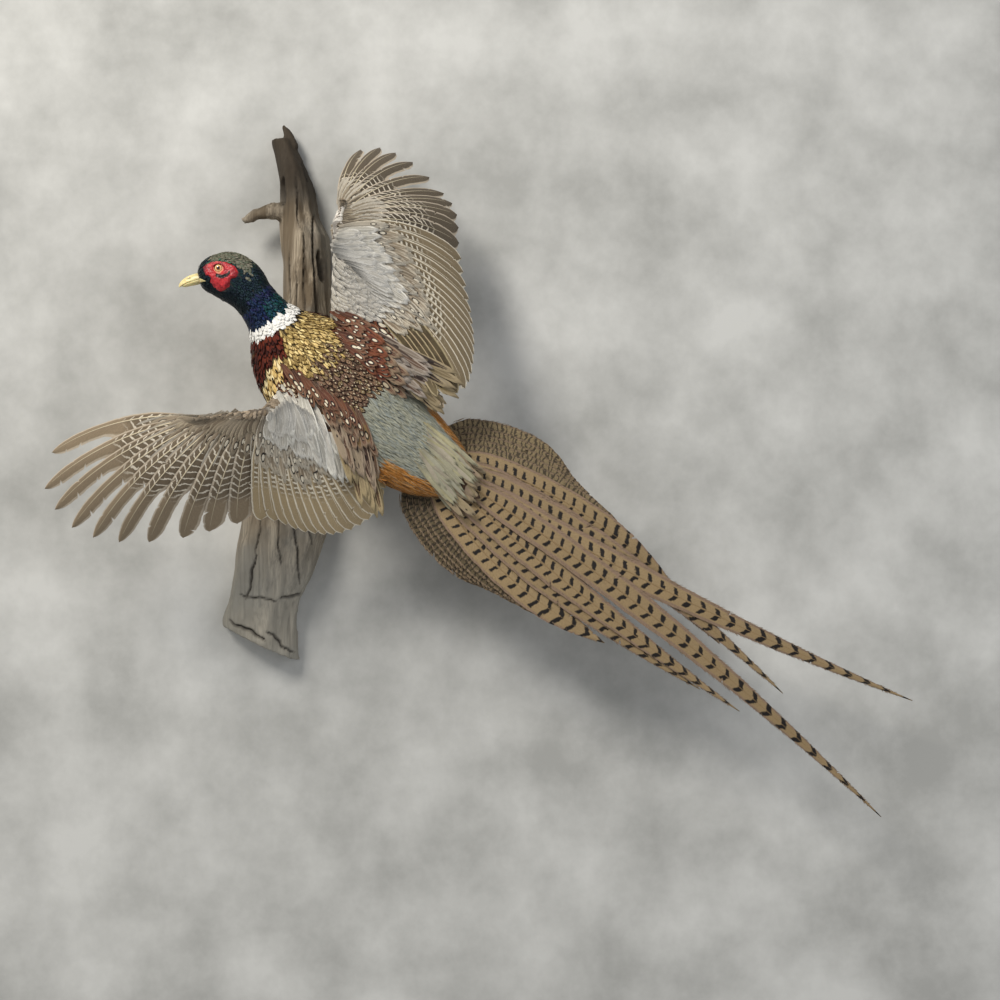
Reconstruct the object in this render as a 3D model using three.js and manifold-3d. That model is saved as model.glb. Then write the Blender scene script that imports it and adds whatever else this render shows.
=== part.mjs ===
// A cock ring-necked pheasant mounted in flight on a piece of driftwood that hangs on a wall.
// Millimetres. +X runs from head to tail, +Y into the wall and +Z up. The wall is the plane y = 0, and the
// origin is the hanging point on the driftwood's flat back. The bird's back faces out of the wall, its head
// is in left profile, its left wing reaches left and down, its right wing up and its tail right and down.

import * as THREE from "three";
import { mergeVertices } from "three/addons/utils/BufferGeometryUtils.js";
import Module from "manifold-3d";

const wasm = await Module();
wasm.setup();

const at = (x, y, z) => new THREE.Vector3(x, y, z);
const deg = THREE.MathUtils.degToRad;
const outOfWall = at(0, -1, 0);

const gap = 0.35; // between pieces that touch
const vane = 0.7; // thickness of a flight feather
const shingle = 1.7; // each flight feather lies this far under the next one

// ---------- driving dimensions ----------

// The body from bill to tail base. Each station has its centre, its half width from side to side, its depth
// towards the back and towards the belly, and how far the back is turned from the viewer up to the right.
const bodyStations = [
  { centre: at(-71.5, -150, 109), side: 5.5, back: 8, belly: 6, roll: 88 },
  { centre: at(-65, -150, 110), side: 10.5, back: 15.5, belly: 14, roll: 88 },
  { centre: at(-53.7, -150, 111), side: 14.5, back: 21.5, belly: 20, roll: 88 },
  { centre: at(-41.3, -150, 109.5), side: 16.5, back: 25, belly: 23.5, roll: 86 },
  { centre: at(-28.9, -149, 101.5), side: 17.5, back: 24.5, belly: 22, roll: 80 },
  { centre: at(-17.6, -147, 88.5), side: 18.5, back: 21, belly: 20.5, roll: 72 },
  { centre: at(-7, -143, 75), side: 21.5, back: 23.5, belly: 23, roll: 60 },
  { centre: at(1.5, -138, 63), side: 29, back: 29.5, belly: 30, roll: 48 },
  { centre: at(17.8, -129, 42), side: 49, back: 43, belly: 46, roll: 32 },
  { centre: at(43.6, -123, 16), side: 60, back: 51, belly: 51, roll: 24 },
  { centre: at(76.6, -121, -12), side: 57, back: 51, belly: 46, roll: 20 },
  { centre: at(110.9, -123, -39.5), side: 49, back: 42, belly: 38, roll: 17 },
  { centre: at(140.1, -125, -60), side: 42, back: 31, belly: 29, roll: 14 },
  { centre: at(164.5, -126, -75), side: 31, back: 20, belly: 20, roll: 12 },
  { centre: at(186, -126, -90), side: 17, back: 10, belly: 10, roll: 10 },
];
const headEnd = 0.345; // share of the stations where the head is parted from the neck
const neckEnd = 0.535;

// A wing's joints, the strap of shoulder feathers along the back, and where some flight feathers end.
// Feather 0 is the outermost primary, 10 the outermost secondary and 25 the innermost tertial.
const placedFeathers = [0, 1, 3, 5, 7, 10, 14, 18, 22, 25];
const leftWing = {
  shoulder: at(14, -152, 10),
  elbow: at(50, -166, -43),
  wrist: at(-5, -203, -24),
  handEnd: at(-66, -197, -28),
  strap: [at(30, -168, -2), at(66, -166, -42), at(98, -148, -84)],
  sweep: { hand: 0.035, arm: 0.03 },
  tips: [
    at(-213, -166, -61),
    at(-221, -158, -96),
    at(-196, -146, -134),
    at(-151, -136, -148),
    at(-90, -127, -143),
    at(-16, -111, -123),
    at(27, -106, -135),
    at(63, -107, -136),
    at(96, -117, -117),
    at(107, -131, -92),
  ],
};
const rightWing = {
  shoulder: at(67, -130, 64),
  elbow: at(106, -166, 98),
  wrist: at(66, -205, 150),
  handEnd: at(68, -163, 180),
  strap: [at(74, -148, 66), at(118, -152, 32), at(160, -146, -12)],
  sweep: { hand: 0.03, arm: 0.09 },
  tips: [
    at(78, -42, 263),
    at(98, -35, 265),
    at(132, -38, 247),
    at(164, -56, 210),
    at(177, -70, 184),
    at(179, -93, 134),
    at(189, -109, 80),
    at(192, -121, 38),
    at(184, -138, 4),
    at(158, -155, -5),
  ],
};
const primaries = 10;
const secondaries = 13;
const tertials = 3;
const feathersInWing = primaries + secondaries + tertials;
const lastFeather = feathersInWing - 1;

// Tail feathers from the middle pair outwards: length, angle below +X, and bow as a share of the length.
const tailRoot = at(156, -127, -68);
const tailBack = at(0.09, -0.985, 0.1).normalize(); // the way the tail's upper side faces
const tailAxisAngle = 38;
const tailPairs = {
  left: [
    { length: 562, angle: 38, bow: -0.026 },
    { length: 384, angle: 38.9, bow: 0.02 },
    { length: 340, angle: 40.2, bow: 0.04 },
    { length: 240, angle: 46.5, bow: 0.08 },
    { length: 214, angle: 48.5, bow: 0.09 },
    { length: 188, angle: 51, bow: 0.11 },
    { length: 168, angle: 54, bow: 0.12 },
    { length: 152, angle: 57.5, bow: 0.13 },
    { length: 138, angle: 62, bow: 0.14 },
  ],
  right: [
    { length: 530, angle: 25.9, bow: -0.025 },
    { length: 410, angle: 33.1, bow: 0.045 },
    { length: 330, angle: 32, bow: 0.045 },
    { length: 266, angle: 27.2, bow: 0.075 },
    { length: 228, angle: 24.5, bow: 0.09 },
    { length: 196, angle: 21, bow: 0.1 },
    { length: 172, angle: 17, bow: 0.11 },
    { length: 153, angle: 12, bow: 0.12 },
    { length: 136, angle: 4, bow: 0.13 },
  ],
};
const tailRootSpread = 3.1; // sideways step between the roots of neighbours
const tailWidest = 27;
const tailLayer = 1.15; // depth between one tail feather and the next

// Driftwood, from the top down: height, centre, half width, and how far it stands out of the wall.
const woodStations = [
  { z: 268, x: -7, half: 12, out: 26 },
  { z: 244, x: 1, half: 14.5, out: 34 },
  { z: 218, x: 8.5, half: 17.5, out: 40 },
  { z: 188, x: 10.5, half: 20, out: 45 },
  { z: 167, x: 16, half: 26, out: 50 },
  { z: 142, x: 18, half: 26, out: 53 },
  { z: 100, x: 19.5, half: 25.5, out: 62 },
  { z: 40, x: 18.5, half: 28, out: 80 },
  { z: -22, x: 13, half: 32, out: 78 },
  { z: -83, x: 5.5, half: 39, out: 62 },
  { z: -124, x: -2.8, half: 45, out: 56 },
  { z: -154, x: -11.5, half: 44.5, out: 52 },
  { z: -180, x: -17, half: 43, out: 48 },
  { z: -206, x: -26, half: 38.5, out: 46 },
  { z: -226, x: -31, half: 40, out: 42 },
  { z: -275, x: -29, half: 38, out: 34 },
];

// ---------- tools ----------

// Moves each vertex of a unit shape to its place, so that a cylinder or box becomes a limb or a vane.
function morph(geometry, place) {
  const position = geometry.getAttribute("position");
  for (let i = 0; i < position.count; i++) {
    const p = place(position.getX(i), position.getY(i), position.getZ(i));
    position.setXYZ(i, p.x, p.y, p.z);
  }
  return geometry;
}

function solidOf(geometry) {
  const bare = geometry.clone();
  bare.deleteAttribute("normal");
  bare.deleteAttribute("uv");
  const merged = mergeVertices(bare, 1e-4);
  return new wasm.Manifold(
    new wasm.Mesh({
      numProp: 3,
      vertProperties: merged.getAttribute("position").array,
      triVerts: new Uint32Array(merged.index.array),
    }),
  );
}

function geometryOf(solid) {
  const mesh = solid.getMesh();
  const geometry = new THREE.BufferGeometry();
  geometry.setAttribute(
    "position",
    new THREE.BufferAttribute(mesh.vertProperties, 3),
  );
  geometry.setIndex(new THREE.BufferAttribute(mesh.triVerts, 1));
  return geometry;
}

// A cut can shave off a crumb at an edge. This keeps the largest body.
function largest(solid) {
  const bodies = solid.decompose();
  return bodies.reduce((a, b) => (b.volume() > a.volume() ? b : a));
}

function without(solid, ...others) {
  return largest(others.reduce((rest, other) => rest.subtract(other), solid));
}

// A smooth curve through the points, read at any share from 0 to 1 of its stations.
function through(points) {
  const curve = new THREE.CatmullRomCurve3(points, false, "catmullrom", 0.5);
  return (share) => curve.getPoint(THREE.MathUtils.clamp(share, 0, 1));
}

// The part of v square to a unit vector.
function squareTo(v, unit) {
  return v.clone().addScaledVector(unit, -v.dot(unit)).normalize();
}

// A closed limb: a cylinder whose axis follows frame(share), which gives the centre, the half sizes and two
// directions across the axis, right and up, with right x along = up.
function limb(sides, steps, frame) {
  const unit = new THREE.CylinderGeometry(1, 1, 1, sides, steps);
  return solidOf(
    morph(unit, (x, y, z) => {
      const f = frame(0.5 + y);
      return f.centre
        .clone()
        .addScaledVector(f.right, x * f.half)
        .addScaledVector(f.up, z * (z > 0 ? f.top : f.bottom));
    }),
  );
}

// ---------- body ----------

const bodyCentre = through(bodyStations.map((s) => s.centre));
const bodySizes = through(bodyStations.map((s) => at(s.side, s.back, s.belly)));
const bodyRoll = through(bodyStations.map((s) => at(s.roll, 0, 0)));

// Where the body's axis runs at a share of its stations, and which ways are left and back.
function bodyFrame(share) {
  const step = 0.01;
  const along = bodyCentre(share + step)
    .sub(bodyCentre(share - step))
    .normalize();
  const upRight = squareTo(outOfWall.clone().cross(along), along);
  const out = squareTo(outOfWall, along);
  const roll = deg(bodyRoll(share).x);
  const back = out
    .multiplyScalar(Math.cos(roll))
    .addScaledVector(upRight, Math.sin(roll))
    .normalize();
  return { centre: bodyCentre(share), along, back, left: along.clone().cross(back) };
}

// The body between two shares of its length, grown by `extra`.
function bodyPiece(from, to, steps, extra = 0) {
  return limb(16, steps, (s) => {
    const share = from + (to - from) * s;
    const f = bodyFrame(share);
    const size = bodySizes(share);
    return {
      centre: f.centre,
      right: f.left,
      up: f.back,
      half: size.x + extra,
      top: size.y + extra,
      bottom: size.z + extra,
    };
  });
}

const partingShare = 0.0022; // leaves a thin cut between head, neck and trunk

// ---------- head ----------

const eyeCentre = (side) => at(-50.2, -150 - side * 11.2, 117);
const eyeRadius = 5;
const eyeSolid = (side, extra = 0) =>
  solidOf(new THREE.SphereGeometry(eyeRadius + extra, 9, 6)).translate(
    eyeCentre(side).toArray(),
  );

// The red skin round the eye: an upper lobe from the bill to behind the eye, and a lower one that hangs.
function wattleOutline() {
  const upper = new THREE.Shape();
  upper.absellipse(-48.5, 114.5, 18.5, 9.5, 0, Math.PI * 2, false, deg(-8));
  const lower = new THREE.Shape();
  lower.absellipse(-50, 103.5, 9.5, 13, 0, Math.PI * 2, false, deg(-14));
  const settings = { depth: 60, bevelEnabled: false, curveSegments: 4 };
  const slab = (shape) => {
    const geometry = new THREE.ExtrudeGeometry(shape, settings);
    return solidOf(geometry.rotateX(Math.PI / 2));
  };
  return slab(upper).add(slab(lower));
}

const wattleDepth = 2.4;
function wattle(side, headGrown) {
  const farSide = side > 0 ? -150 : -90; // the slab runs from here 60 mm towards the viewer
  const slab = wattleOutline().translate([0, farSide, 0]);
  const shell = bodyPiece(0, headEnd, 8, wattleDepth).intersect(slab);
  return without(shell, headGrown, eyeSolid(side, gap));
}

// The two halves of the bill: tapered horn, flat where they meet and curved down at the tip.
const billRoot = at(-66, -150, 107.5);
const billTip = at(-90, -150, 99.8);
function bill(isUpper) {
  const length = isUpper ? 1 : 0.88;
  const curve = new THREE.QuadraticBezierCurve3(
    billRoot.clone().add(at(0, 0, isUpper ? gap : -gap / 2)),
    billRoot.clone().lerp(billTip, 0.6).add(at(0, 0, isUpper ? 3.6 : 2.4)),
    billRoot.clone().lerp(billTip, length).add(at(0, 0, isUpper ? gap : 0.6)),
  );
  return limb(10, 6, (s) => {
    const taper = Math.sqrt(Math.max(1 - s * s, 0.012));
    const along = curve.getTangent(s);
    const right = at(0, 1, 0);
    return {
      centre: curve.getPoint(s),
      right,
      up: right.clone().cross(along),
      half: 5.6 * taper,
      top: (isUpper ? 6.8 : 0.15) * taper,
      bottom: (isUpper ? 0.15 : 3.6) * taper,
    };
  });
}

// ---------- wings ----------

// The wing's surface. Feather u starts on the arm or hand at t = 0 and ends at its tip at t = 1, and the
// surface is smooth between feathers and beyond the first and last.
function wingSurface(wing) {
  const tipCurve = through(wing.tips);
  const beyond = (curve, u) => {
    const inside = THREE.MathUtils.clamp(u, 0, lastFeather);
    const end = curve(inside);
    const before = curve(inside + (u < 0 ? 0.5 : -0.5));
    return end.clone().lerp(before, -2 * Math.abs(u - inside));
  };
  const tip = (u) =>
    beyond((v) => {
      const next = Math.max(1, placedFeathers.findIndex((feather) => feather >= v));
      const [a, b] = [placedFeathers[next - 1], placedFeathers[next]];
      return tipCurve((next - 1 + (v - a) / (b - a)) / (placedFeathers.length - 1));
    }, u);
  const tertialRoot = wing.elbow.clone().lerp(wing.shoulder, 0.4);
  const wristAt = primaries - 0.5;
  const elbowAt = primaries + secondaries - 1;
  const bones = [
    { from: 0, to: wristAt, start: wing.handEnd, end: wing.wrist },
    { from: wristAt, to: elbowAt, start: wing.wrist, end: wing.elbow },
    { from: elbowAt, to: lastFeather, start: wing.elbow, end: tertialRoot },
  ];
  const root = (u) =>
    beyond((v) => {
      const bone = bones.find((b) => v <= b.to);
      return bone.start.clone().lerp(bone.end, (v - bone.from) / (bone.to - bone.from));
    }, u);
  // The direction out of the wing's back, averaged over its neighbours so that it turns slowly.
  const out = (u) => {
    const chord = tip(u).sub(root(u));
    const inward = tip(u + 3).add(root(u + 3)).sub(tip(u - 3)).sub(root(u - 3));
    const normal = chord.cross(inward).normalize();
    return normal.dot(outOfWall) < 0 ? normal.negate() : normal;
  };
  // Primaries sweep back towards their tips, and every feather is arched a little.
  const curve = (u) => {
    const from = root(u);
    const to = tip(u);
    const length = from.distanceTo(to);
    const ahead = squareTo(tip(u - 1).sub(tip(u + 1)), to.clone().sub(from).normalize());
    const sweep = THREE.MathUtils.lerp(
      wing.sweep.hand,
      wing.sweep.arm,
      THREE.MathUtils.smoothstep(u, 4, primaries + 3),
    );
    const middle = from
      .clone()
      .lerp(to, 0.5)
      .addScaledVector(ahead, 2 * sweep * length)
      .addScaledVector(out(u), 0.1 * length);
    return new THREE.QuadraticBezierCurve3(from, middle, to);
  };
  const point = (u, t) => curve(u).getPoint(t);
  // A point on the surface `aside` millimetres inward of feather u, raised by `height`. Newton steps find
  // the place (v, s) on the surface that is nearest to a point straight to the side of the shaft.
  const beside = (u, t, aside, height) => {
    const sideways = (v, s) => point(v + 0.25, s).sub(point(v - 0.25, s)).multiplyScalar(2);
    const ahead = squareTo(sideways(u, Math.max(t, 0.4)), curve(u).getTangent(t));
    const target = point(u, t).addScaledVector(ahead, aside);
    let [v, s] = [u, t];
    for (let round = 0; round < 5; round++) {
      const miss = target.clone().sub(point(v, s));
      const dv = sideways(v, s);
      const ds = point(v, s + 0.02).sub(point(v, s - 0.02)).multiplyScalar(25);
      const [a, b, c] = [dv.lengthSq() + 1, dv.dot(ds), ds.lengthSq() + 1];
      const [e, f] = [miss.dot(dv), miss.dot(ds)];
      v += (c * e - b * f) / (a * c - b * b);
      s += (a * f - b * e) / (a * c - b * b);
    }
    return point(v, s).addScaledVector(out(Math.max(v, 0)), height);
  };
  // +1 where across, out and along are right-handed when across points inward.
  const inward = point(17, 0.5).sub(point(16, 0.5));
  const hand = Math.sign(inward.cross(out(16)).dot(curve(16).getTangent(0.5)));
  return { beside, hand };
}

const quillShare = 0.06; // bare quill below each primary's vane, as a share of its length

// How much of a primary's full width it has at t: narrow at the quill and round at the tip.
function vaneShape(t) {
  const rise = 0.12 + 0.88 * THREE.MathUtils.smoothstep(t, 0, 0.3);
  const fall = Math.sqrt(1 - THREE.MathUtils.clamp((t - 0.8) / 0.2, 0, 1) ** 2);
  return rise * Math.max(fall, 0.15);
}

// A primary's shaft lies near its leading edge, and the nearer the wing tip the narrower the leading vane.
function primary(surface, u, extra = 0) {
  const leading = 4.5 + 0.5 * u;
  const trailing = 15.5;
  const box = new THREE.BoxGeometry(1, 1, 1, 2, 1, 7);
  return solidOf(
    morph(box, (x, y, z) => {
      const t = quillShare + (1 - quillShare) * Math.sin(((z + 0.5) * Math.PI) / 2) ** 1.15;
      const inward = surface.hand * 2 * x;
      const aside = inward * (inward > 0 ? trailing : leading) * vaneShape(t);
      return surface.beside(u, t, aside, y * (vane + 2 * extra) - shingle * (primaries - u));
    }),
  );
}

// Secondaries and tertials overlap into one sheet with a scalloped edge.
function secondarySheet(surface, extra = 0) {
  const first = primaries - 0.5;
  const span = lastFeather + 0.5 - first;
  const box = new THREE.BoxGeometry(1, 1, 1, Math.round(span * 2), 1, 3);
  return solidOf(
    morph(box, (x, y, z) => {
      const u = first + (0.5 + surface.hand * x) * span;
      const offCentre = Math.abs(u - Math.round(u)) * 2;
      const t = (0.1 + 0.9 * (z + 0.5)) * (1 - 0.045 * offCentre ** 2);
      return surface.beside(u, t, 0, y * (vane + 2 * extra) + 0.9);
    }),
  );
}

// Shoulder, elbow and wrist with the web of skin between them, and the strap of shoulder feathers.
function armPiece(wing, extra = 0) {
  const along = wing.wrist
    .clone()
    .sub(wing.shoulder.clone().lerp(wing.elbow, 0.5))
    .normalize();
  const right = squareTo(wing.elbow.clone().sub(wing.shoulder), along);
  if (right.clone().cross(along).dot(outOfWall) < 0) right.negate();
  const up = right.clone().cross(along);
  const web = limb(10, 4, (s) => {
    const share = s * 1.3 - 0.3; // begins inside the trunk
    const front = wing.shoulder.clone().lerp(wing.wrist, share);
    const rear = wing.elbow.clone().lerp(wing.wrist, share);
    const thick = THREE.MathUtils.lerp(11, 7, s) + extra;
    const half = front.distanceTo(rear) / 2 + 5 + extra;
    return { centre: front.lerp(rear, 0.5), right, up, half, top: thick, bottom: thick * 0.8 };
  });
  const path = new THREE.QuadraticBezierCurve3(...wing.strap);
  const strap = limb(8, 4, (s) => {
    const way = path.getTangent(s);
    const face = squareTo(outOfWall, way);
    const taper = Math.sin((0.2 + 0.7 * s) * Math.PI);
    return {
      centre: path.getPoint(s),
      right: way.clone().cross(face),
      up: face,
      half: 19 * taper + extra,
      top: 9 * taper + extra,
      bottom: 9 * taper + extra,
    };
  });
  return web.add(strap);
}

function handPiece(wing, extra = 0) {
  const along = wing.handEnd.clone().sub(wing.wrist).normalize();
  const up = squareTo(outOfWall, along);
  const right = along.clone().cross(up);
  return limb(10, 3, (s) => {
    const taper = THREE.MathUtils.lerp(1, 0.5, s);
    return {
      centre: wing.wrist.clone().lerp(wing.handEnd, s).addScaledVector(along, 1.2),
      right,
      up,
      half: 7 * taper + extra,
      top: 6 * taper + extra,
      bottom: 5 * taper + extra,
    };
  });
}

// ---------- tail ----------

const tailAxis = squareTo(
  at(Math.cos(deg(tailAxisAngle)), 0, -Math.sin(deg(tailAxisAngle))),
  tailBack,
);
const tailRight = tailBack.clone().cross(tailAxis); // up and to the right, the bird's right side
if (tailRight.z < 0) tailRight.negate();

function tailFeather(side, pair, { length, angle, bow }) {
  const sign = side === "right" ? 1 : -1;
  const turn = deg(tailAxisAngle - angle);
  const flat = (along, across) =>
    tailRoot.clone().addScaledVector(tailAxis, along).addScaledVector(tailRight, across);
  const tip = flat(length * Math.cos(turn), length * Math.sin(turn));
  const rootAcross = sign * (pair + 0.5) * tailRootSpread;
  const root = flat(-0.28 * pair ** 2, rootAcross);
  const outward = squareTo(tailRight.clone().multiplyScalar(sign), tip.clone().sub(root).normalize());
  const middle = root.clone().lerp(tip, 0.45).addScaledVector(outward, 2 * bow * length);
  const curve = new THREE.QuadraticBezierCurve3(root, middle, tip);
  const layer = (pair * 2 + (sign < 0 ? 0 : 1)) * tailLayer;
  const half = (tailWidest / 2) * (pair < 4 ? 1 : 1 - 0.03 * (pair - 3));
  const pointed = pair < 3 ? 0.42 : 0.62;
  const box = new THREE.BoxGeometry(1, 1, 1, 2, 1, pair < 3 ? 8 : 5);
  return solidOf(
    morph(box, (x, y, z) => {
      const t = z + 0.5;
      const along = curve.getTangent(t);
      const across = tailBack.clone().cross(along);
      const centre = curve.getPoint(t);
      const reach = centre.distanceTo(tailRoot);
      const rise = THREE.MathUtils.smoothstep(t, 0, 0.16) * 0.65 + 0.35;
      const taper = t < pointed ? 1 : 1 - 0.88 * ((t - pointed) / (1 - pointed)) ** (pair < 3 ? 1 : 1.8);
      const droop = 16 * (reach / 400) ** 2;
      return centre
        .addScaledVector(across, 2 * x * half * rise * taper)
        .addScaledVector(tailBack, y * vane - layer - droop);
    }),
  );
}

// ---------- legs ----------

// Each leg is folded back under the body, with the foot closed below the tail's base.
function legLine(side) {
  const hip = bodyFrame(0.78);
  const heel = bodyFrame(0.9);
  const spread = side * 17;
  return {
    knee: hip.centre.clone().addScaledVector(hip.left, spread).addScaledVector(hip.back, -37),
    heel: heel.centre.clone().addScaledVector(heel.left, spread).addScaledVector(heel.back, -34),
    along: heel.along.clone(),
    back: heel.back,
    left: heel.left,
  };
}
const shankLength = 58;
const shankRadius = 3.6;

function leg(side, extra = 0) {
  const { knee, heel, along, back } = legLine(side);
  const toe = heel.clone().addScaledVector(along, shankLength);
  const calf = knee.clone().lerp(heel, 0.6);
  const path = through([knee, calf, heel, heel.clone().lerp(toe, 0.4), toe]);
  const radius = through([15, 11, 5.5, shankRadius, shankRadius].map((r) => at(r, 0, 0)));
  const tube = limb(8, 7, (s) => {
    const way = path(s + 0.01).sub(path(s - 0.01)).normalize();
    const up = squareTo(back, way);
    const r = radius(s).x + extra;
    return { centre: path(s), right: way.clone().cross(up), up, half: r, top: r, bottom: r };
  });
  const spur = new THREE.ConeGeometry(2.2, 11, 6).rotateZ(-Math.PI / 2).translate(4, 0, 0);
  const spurPlace = heel
    .clone()
    .addScaledVector(along, shankLength * 0.6)
    .addScaledVector(back, -shankRadius);
  const aim = new THREE.Quaternion().setFromUnitVectors(
    at(1, 0, 0),
    along.clone().multiplyScalar(0.8).addScaledVector(back, -0.6).normalize(),
  );
  morph(spur, (x, y, z) => at(x, y, z).applyQuaternion(aim).add(spurPlace));
  return tube.add(solidOf(spur));
}

function foot(side) {
  const { heel, along, back, left } = legLine(side);
  const ankle = heel.clone().addScaledVector(along, shankLength + 4.5);
  const toes = [
    { turn: -16, length: 42 },
    { turn: 0, length: 50 },
    { turn: 16, length: 40 },
  ];
  const parts = toes.map(({ turn, length }) => {
    const way = along.clone().applyAxisAngle(back, deg(turn));
    const end = ankle.clone().addScaledVector(way, length).addScaledVector(back, 5);
    const bend = ankle.clone().lerp(end, 0.55).addScaledVector(back, -5);
    const path = new THREE.QuadraticBezierCurve3(ankle, bend, end);
    return limb(6, 3, (s) => {
      const tangent = path.getTangent(s);
      const up = squareTo(back, tangent);
      const r = 3 * (1 - 0.75 * s ** 2.2);
      return { centre: path.getPoint(s), right: tangent.clone().cross(up), up, half: r, top: r, bottom: r };
    });
  });
  const palm = solidOf(new THREE.SphereGeometry(4.3, 6, 4)).translate(ankle.toArray());
  const hindToe = new THREE.ConeGeometry(2, 14, 6);
  const hindAim = new THREE.Quaternion().setFromUnitVectors(
    at(0, 1, 0),
    along.clone().addScaledVector(back, -0.9).normalize(),
  );
  const hindPlace = ankle
    .clone()
    .addScaledVector(back, -5)
    .addScaledVector(left, -side * 2)
    .addScaledVector(along, 4);
  morph(hindToe, (x, y, z) => at(x, y, z).applyQuaternion(hindAim).add(hindPlace));
  return parts.reduce((all, toe) => all.add(toe), palm).add(solidOf(hindToe));
}

// ---------- driftwood ----------

const woodCurve = through(woodStations.map((s) => at(s.x, s.half, s.out)));
const woodHeights = through(woodStations.map((s) => at(s.z, 0, 0)));

function driftwood() {
  const trunk = new THREE.CylinderGeometry(1, 1, 1, 16, 15);
  const log = solidOf(
    morph(trunk, (x, y, z) => {
      const share = 0.5 - y;
      const s = woodCurve(share);
      const height = woodHeights(share).x;
      const round = z > 0 ? z ** 0.75 : 0; // the back half of the log is sawn flat
      const ridge = 1 + 0.05 * Math.sin(9 * Math.atan2(z, x) + height / 26);
      const edge = z > 0 ? 1 : 0.96;
      return at(s.x + x * s.y * edge * (z > 0 ? ridge : 1), -round * s.z * ridge, height);
    }),
  );
  // The foot is broken off on a slope, and a snag and a side branch stand out at the top.
  const cut = new THREE.BoxGeometry(260, 200, 80).rotateY(deg(26)).translate(-38, -40, -292);
  const bend = (...points) => new THREE.QuadraticBezierCurve3(...points);
  const snagPath = bend(at(4, -14, 258), at(1, -13, 272), at(-6, -10, 283));
  const branchPath = bend(at(14, -26, 186), at(-14, -30, 200), at(-45, -34, 180));
  const tapered = (path, from, to) =>
    limb(8, 4, (s) => {
      const way = path.getTangent(s);
      const up = squareTo(outOfWall, way);
      const r = THREE.MathUtils.lerp(from, to, s ** 1.4);
      return { centre: path.getPoint(s), right: way.clone().cross(up), up, half: r, top: r, bottom: r };
    });
  return largest(
    log.subtract(solidOf(cut)).add(tapered(snagPath, 8, 2.5)).add(tapered(branchPath, 12, 4)),
  );
}

// ---------- colours ----------

const colours = {
  wood: { color: 0x8a7d6c, roughness: 0.85, metalness: 0 },
  headSheen: { color: 0x173a3c, roughness: 0.4, metalness: 0 },
  mantle: { color: 0x8a6a35, roughness: 0.7, metalness: 0 },
  wingCoverts: { color: 0xa79f93, roughness: 0.75, metalness: 0 },
  flight: { color: 0x8a7a63, roughness: 0.65, metalness: 0 },
  tail: { color: 0x94805a, roughness: 0.65, metalness: 0 },
  wattleSkin: { color: 0xb3231d, roughness: 0.6, metalness: 0 },
  bill: { color: 0xd8cf96, roughness: 0.4, metalness: 0 },
  eye: { color: 0xd79b3c, roughness: 0.08, metalness: 0 },
  legSkin: { color: 0x7c7468, roughness: 0.6, metalness: 0 },
};
for (const [name, settings] of Object.entries(colours))
  colours[name] = new THREE.MeshStandardMaterial({ ...settings, name });

const pheasantMount = new THREE.Group();
pheasantMount.name = "pheasant_mount";
function place(name, solid, material) {
  const mesh = new THREE.Mesh(geometryOf(solid), material);
  mesh.name = name;
  pheasantMount.add(mesh);
}

// ---------- assembly ----------

const wood = driftwood();
place("driftwood", wood, colours.wood);

const upperBill = bill(true);
const lowerBill = bill(false);
const headWhole = bodyPiece(0, headEnd - partingShare, 8);
const headGrown = bodyPiece(0, headEnd - partingShare, 8, gap);
const head = without(headWhole, eyeSolid(1, gap), eyeSolid(-1, gap));
const trunkWhole = bodyPiece(neckEnd + partingShare, 1, 12);
const trunk = without(trunkWhole, wood.translate([0, -gap, 0]));
const trunkGrown = bodyPiece(neckEnd, 1, 12, gap);
place("head", head, colours.headSheen);
place("neck", bodyPiece(headEnd, neckEnd, 5), colours.headSheen);
place("trunk", trunk, colours.mantle);
place("upper_bill", without(upperBill.translate([-gap, 0, 0]), headGrown), colours.bill);
place("lower_bill", without(lowerBill.translate([-gap, 0, 0]), headGrown), colours.bill);
for (const [side, sign] of [["left", 1], ["right", -1]]) {
  place(`${side}_eye`, eyeSolid(sign), colours.eye);
  place(`${side}_wattle`, wattle(sign, headGrown), colours.wattleSkin);
  const legGrown = leg(sign, gap);
  place(`${side}_leg`, without(leg(sign), trunkGrown), colours.legSkin);
  place(`${side}_foot`, without(foot(sign), legGrown, trunkGrown), colours.legSkin);
}

for (const [side, wing] of [["left", leftWing], ["right", rightWing]]) {
  const surface = wingSurface(wing);
  const armGrown = armPiece(wing, gap);
  const handGrown = handPiece(wing, gap);
  place(`${side}_arm`, without(armPiece(wing), trunkGrown), colours.wingCoverts);
  place(`${side}_hand`, without(handPiece(wing), armGrown), colours.wingCoverts);
  const body = [armGrown, handGrown, trunkGrown];
  const sheet = without(secondarySheet(surface), ...body);
  place(`${side}_secondaries`, sheet, colours.flight);
  let above = secondarySheet(surface, gap);
  for (let u = primaries - 1; u >= 0; u--) {
    const feather = without(primary(surface, u), ...body, above);
    place(`${side}_primary_${primaries - u}`, feather, colours.flight);
    above = primary(surface, u, gap);
  }
}

for (const side of ["left", "right"])
  tailPairs[side].forEach((feather, pair) => {
    const solid = without(tailFeather(side, pair, feather), trunkGrown);
    place(`${side}_tail_feather_${pair + 1}`, solid, colours.tail);
  });

export default pheasantMount;
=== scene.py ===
import math
from types import SimpleNamespace

import bmesh
import bpy
import numpy as np
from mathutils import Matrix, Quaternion, Vector, noise
from mathutils.bvhtree import BVHTree


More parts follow.
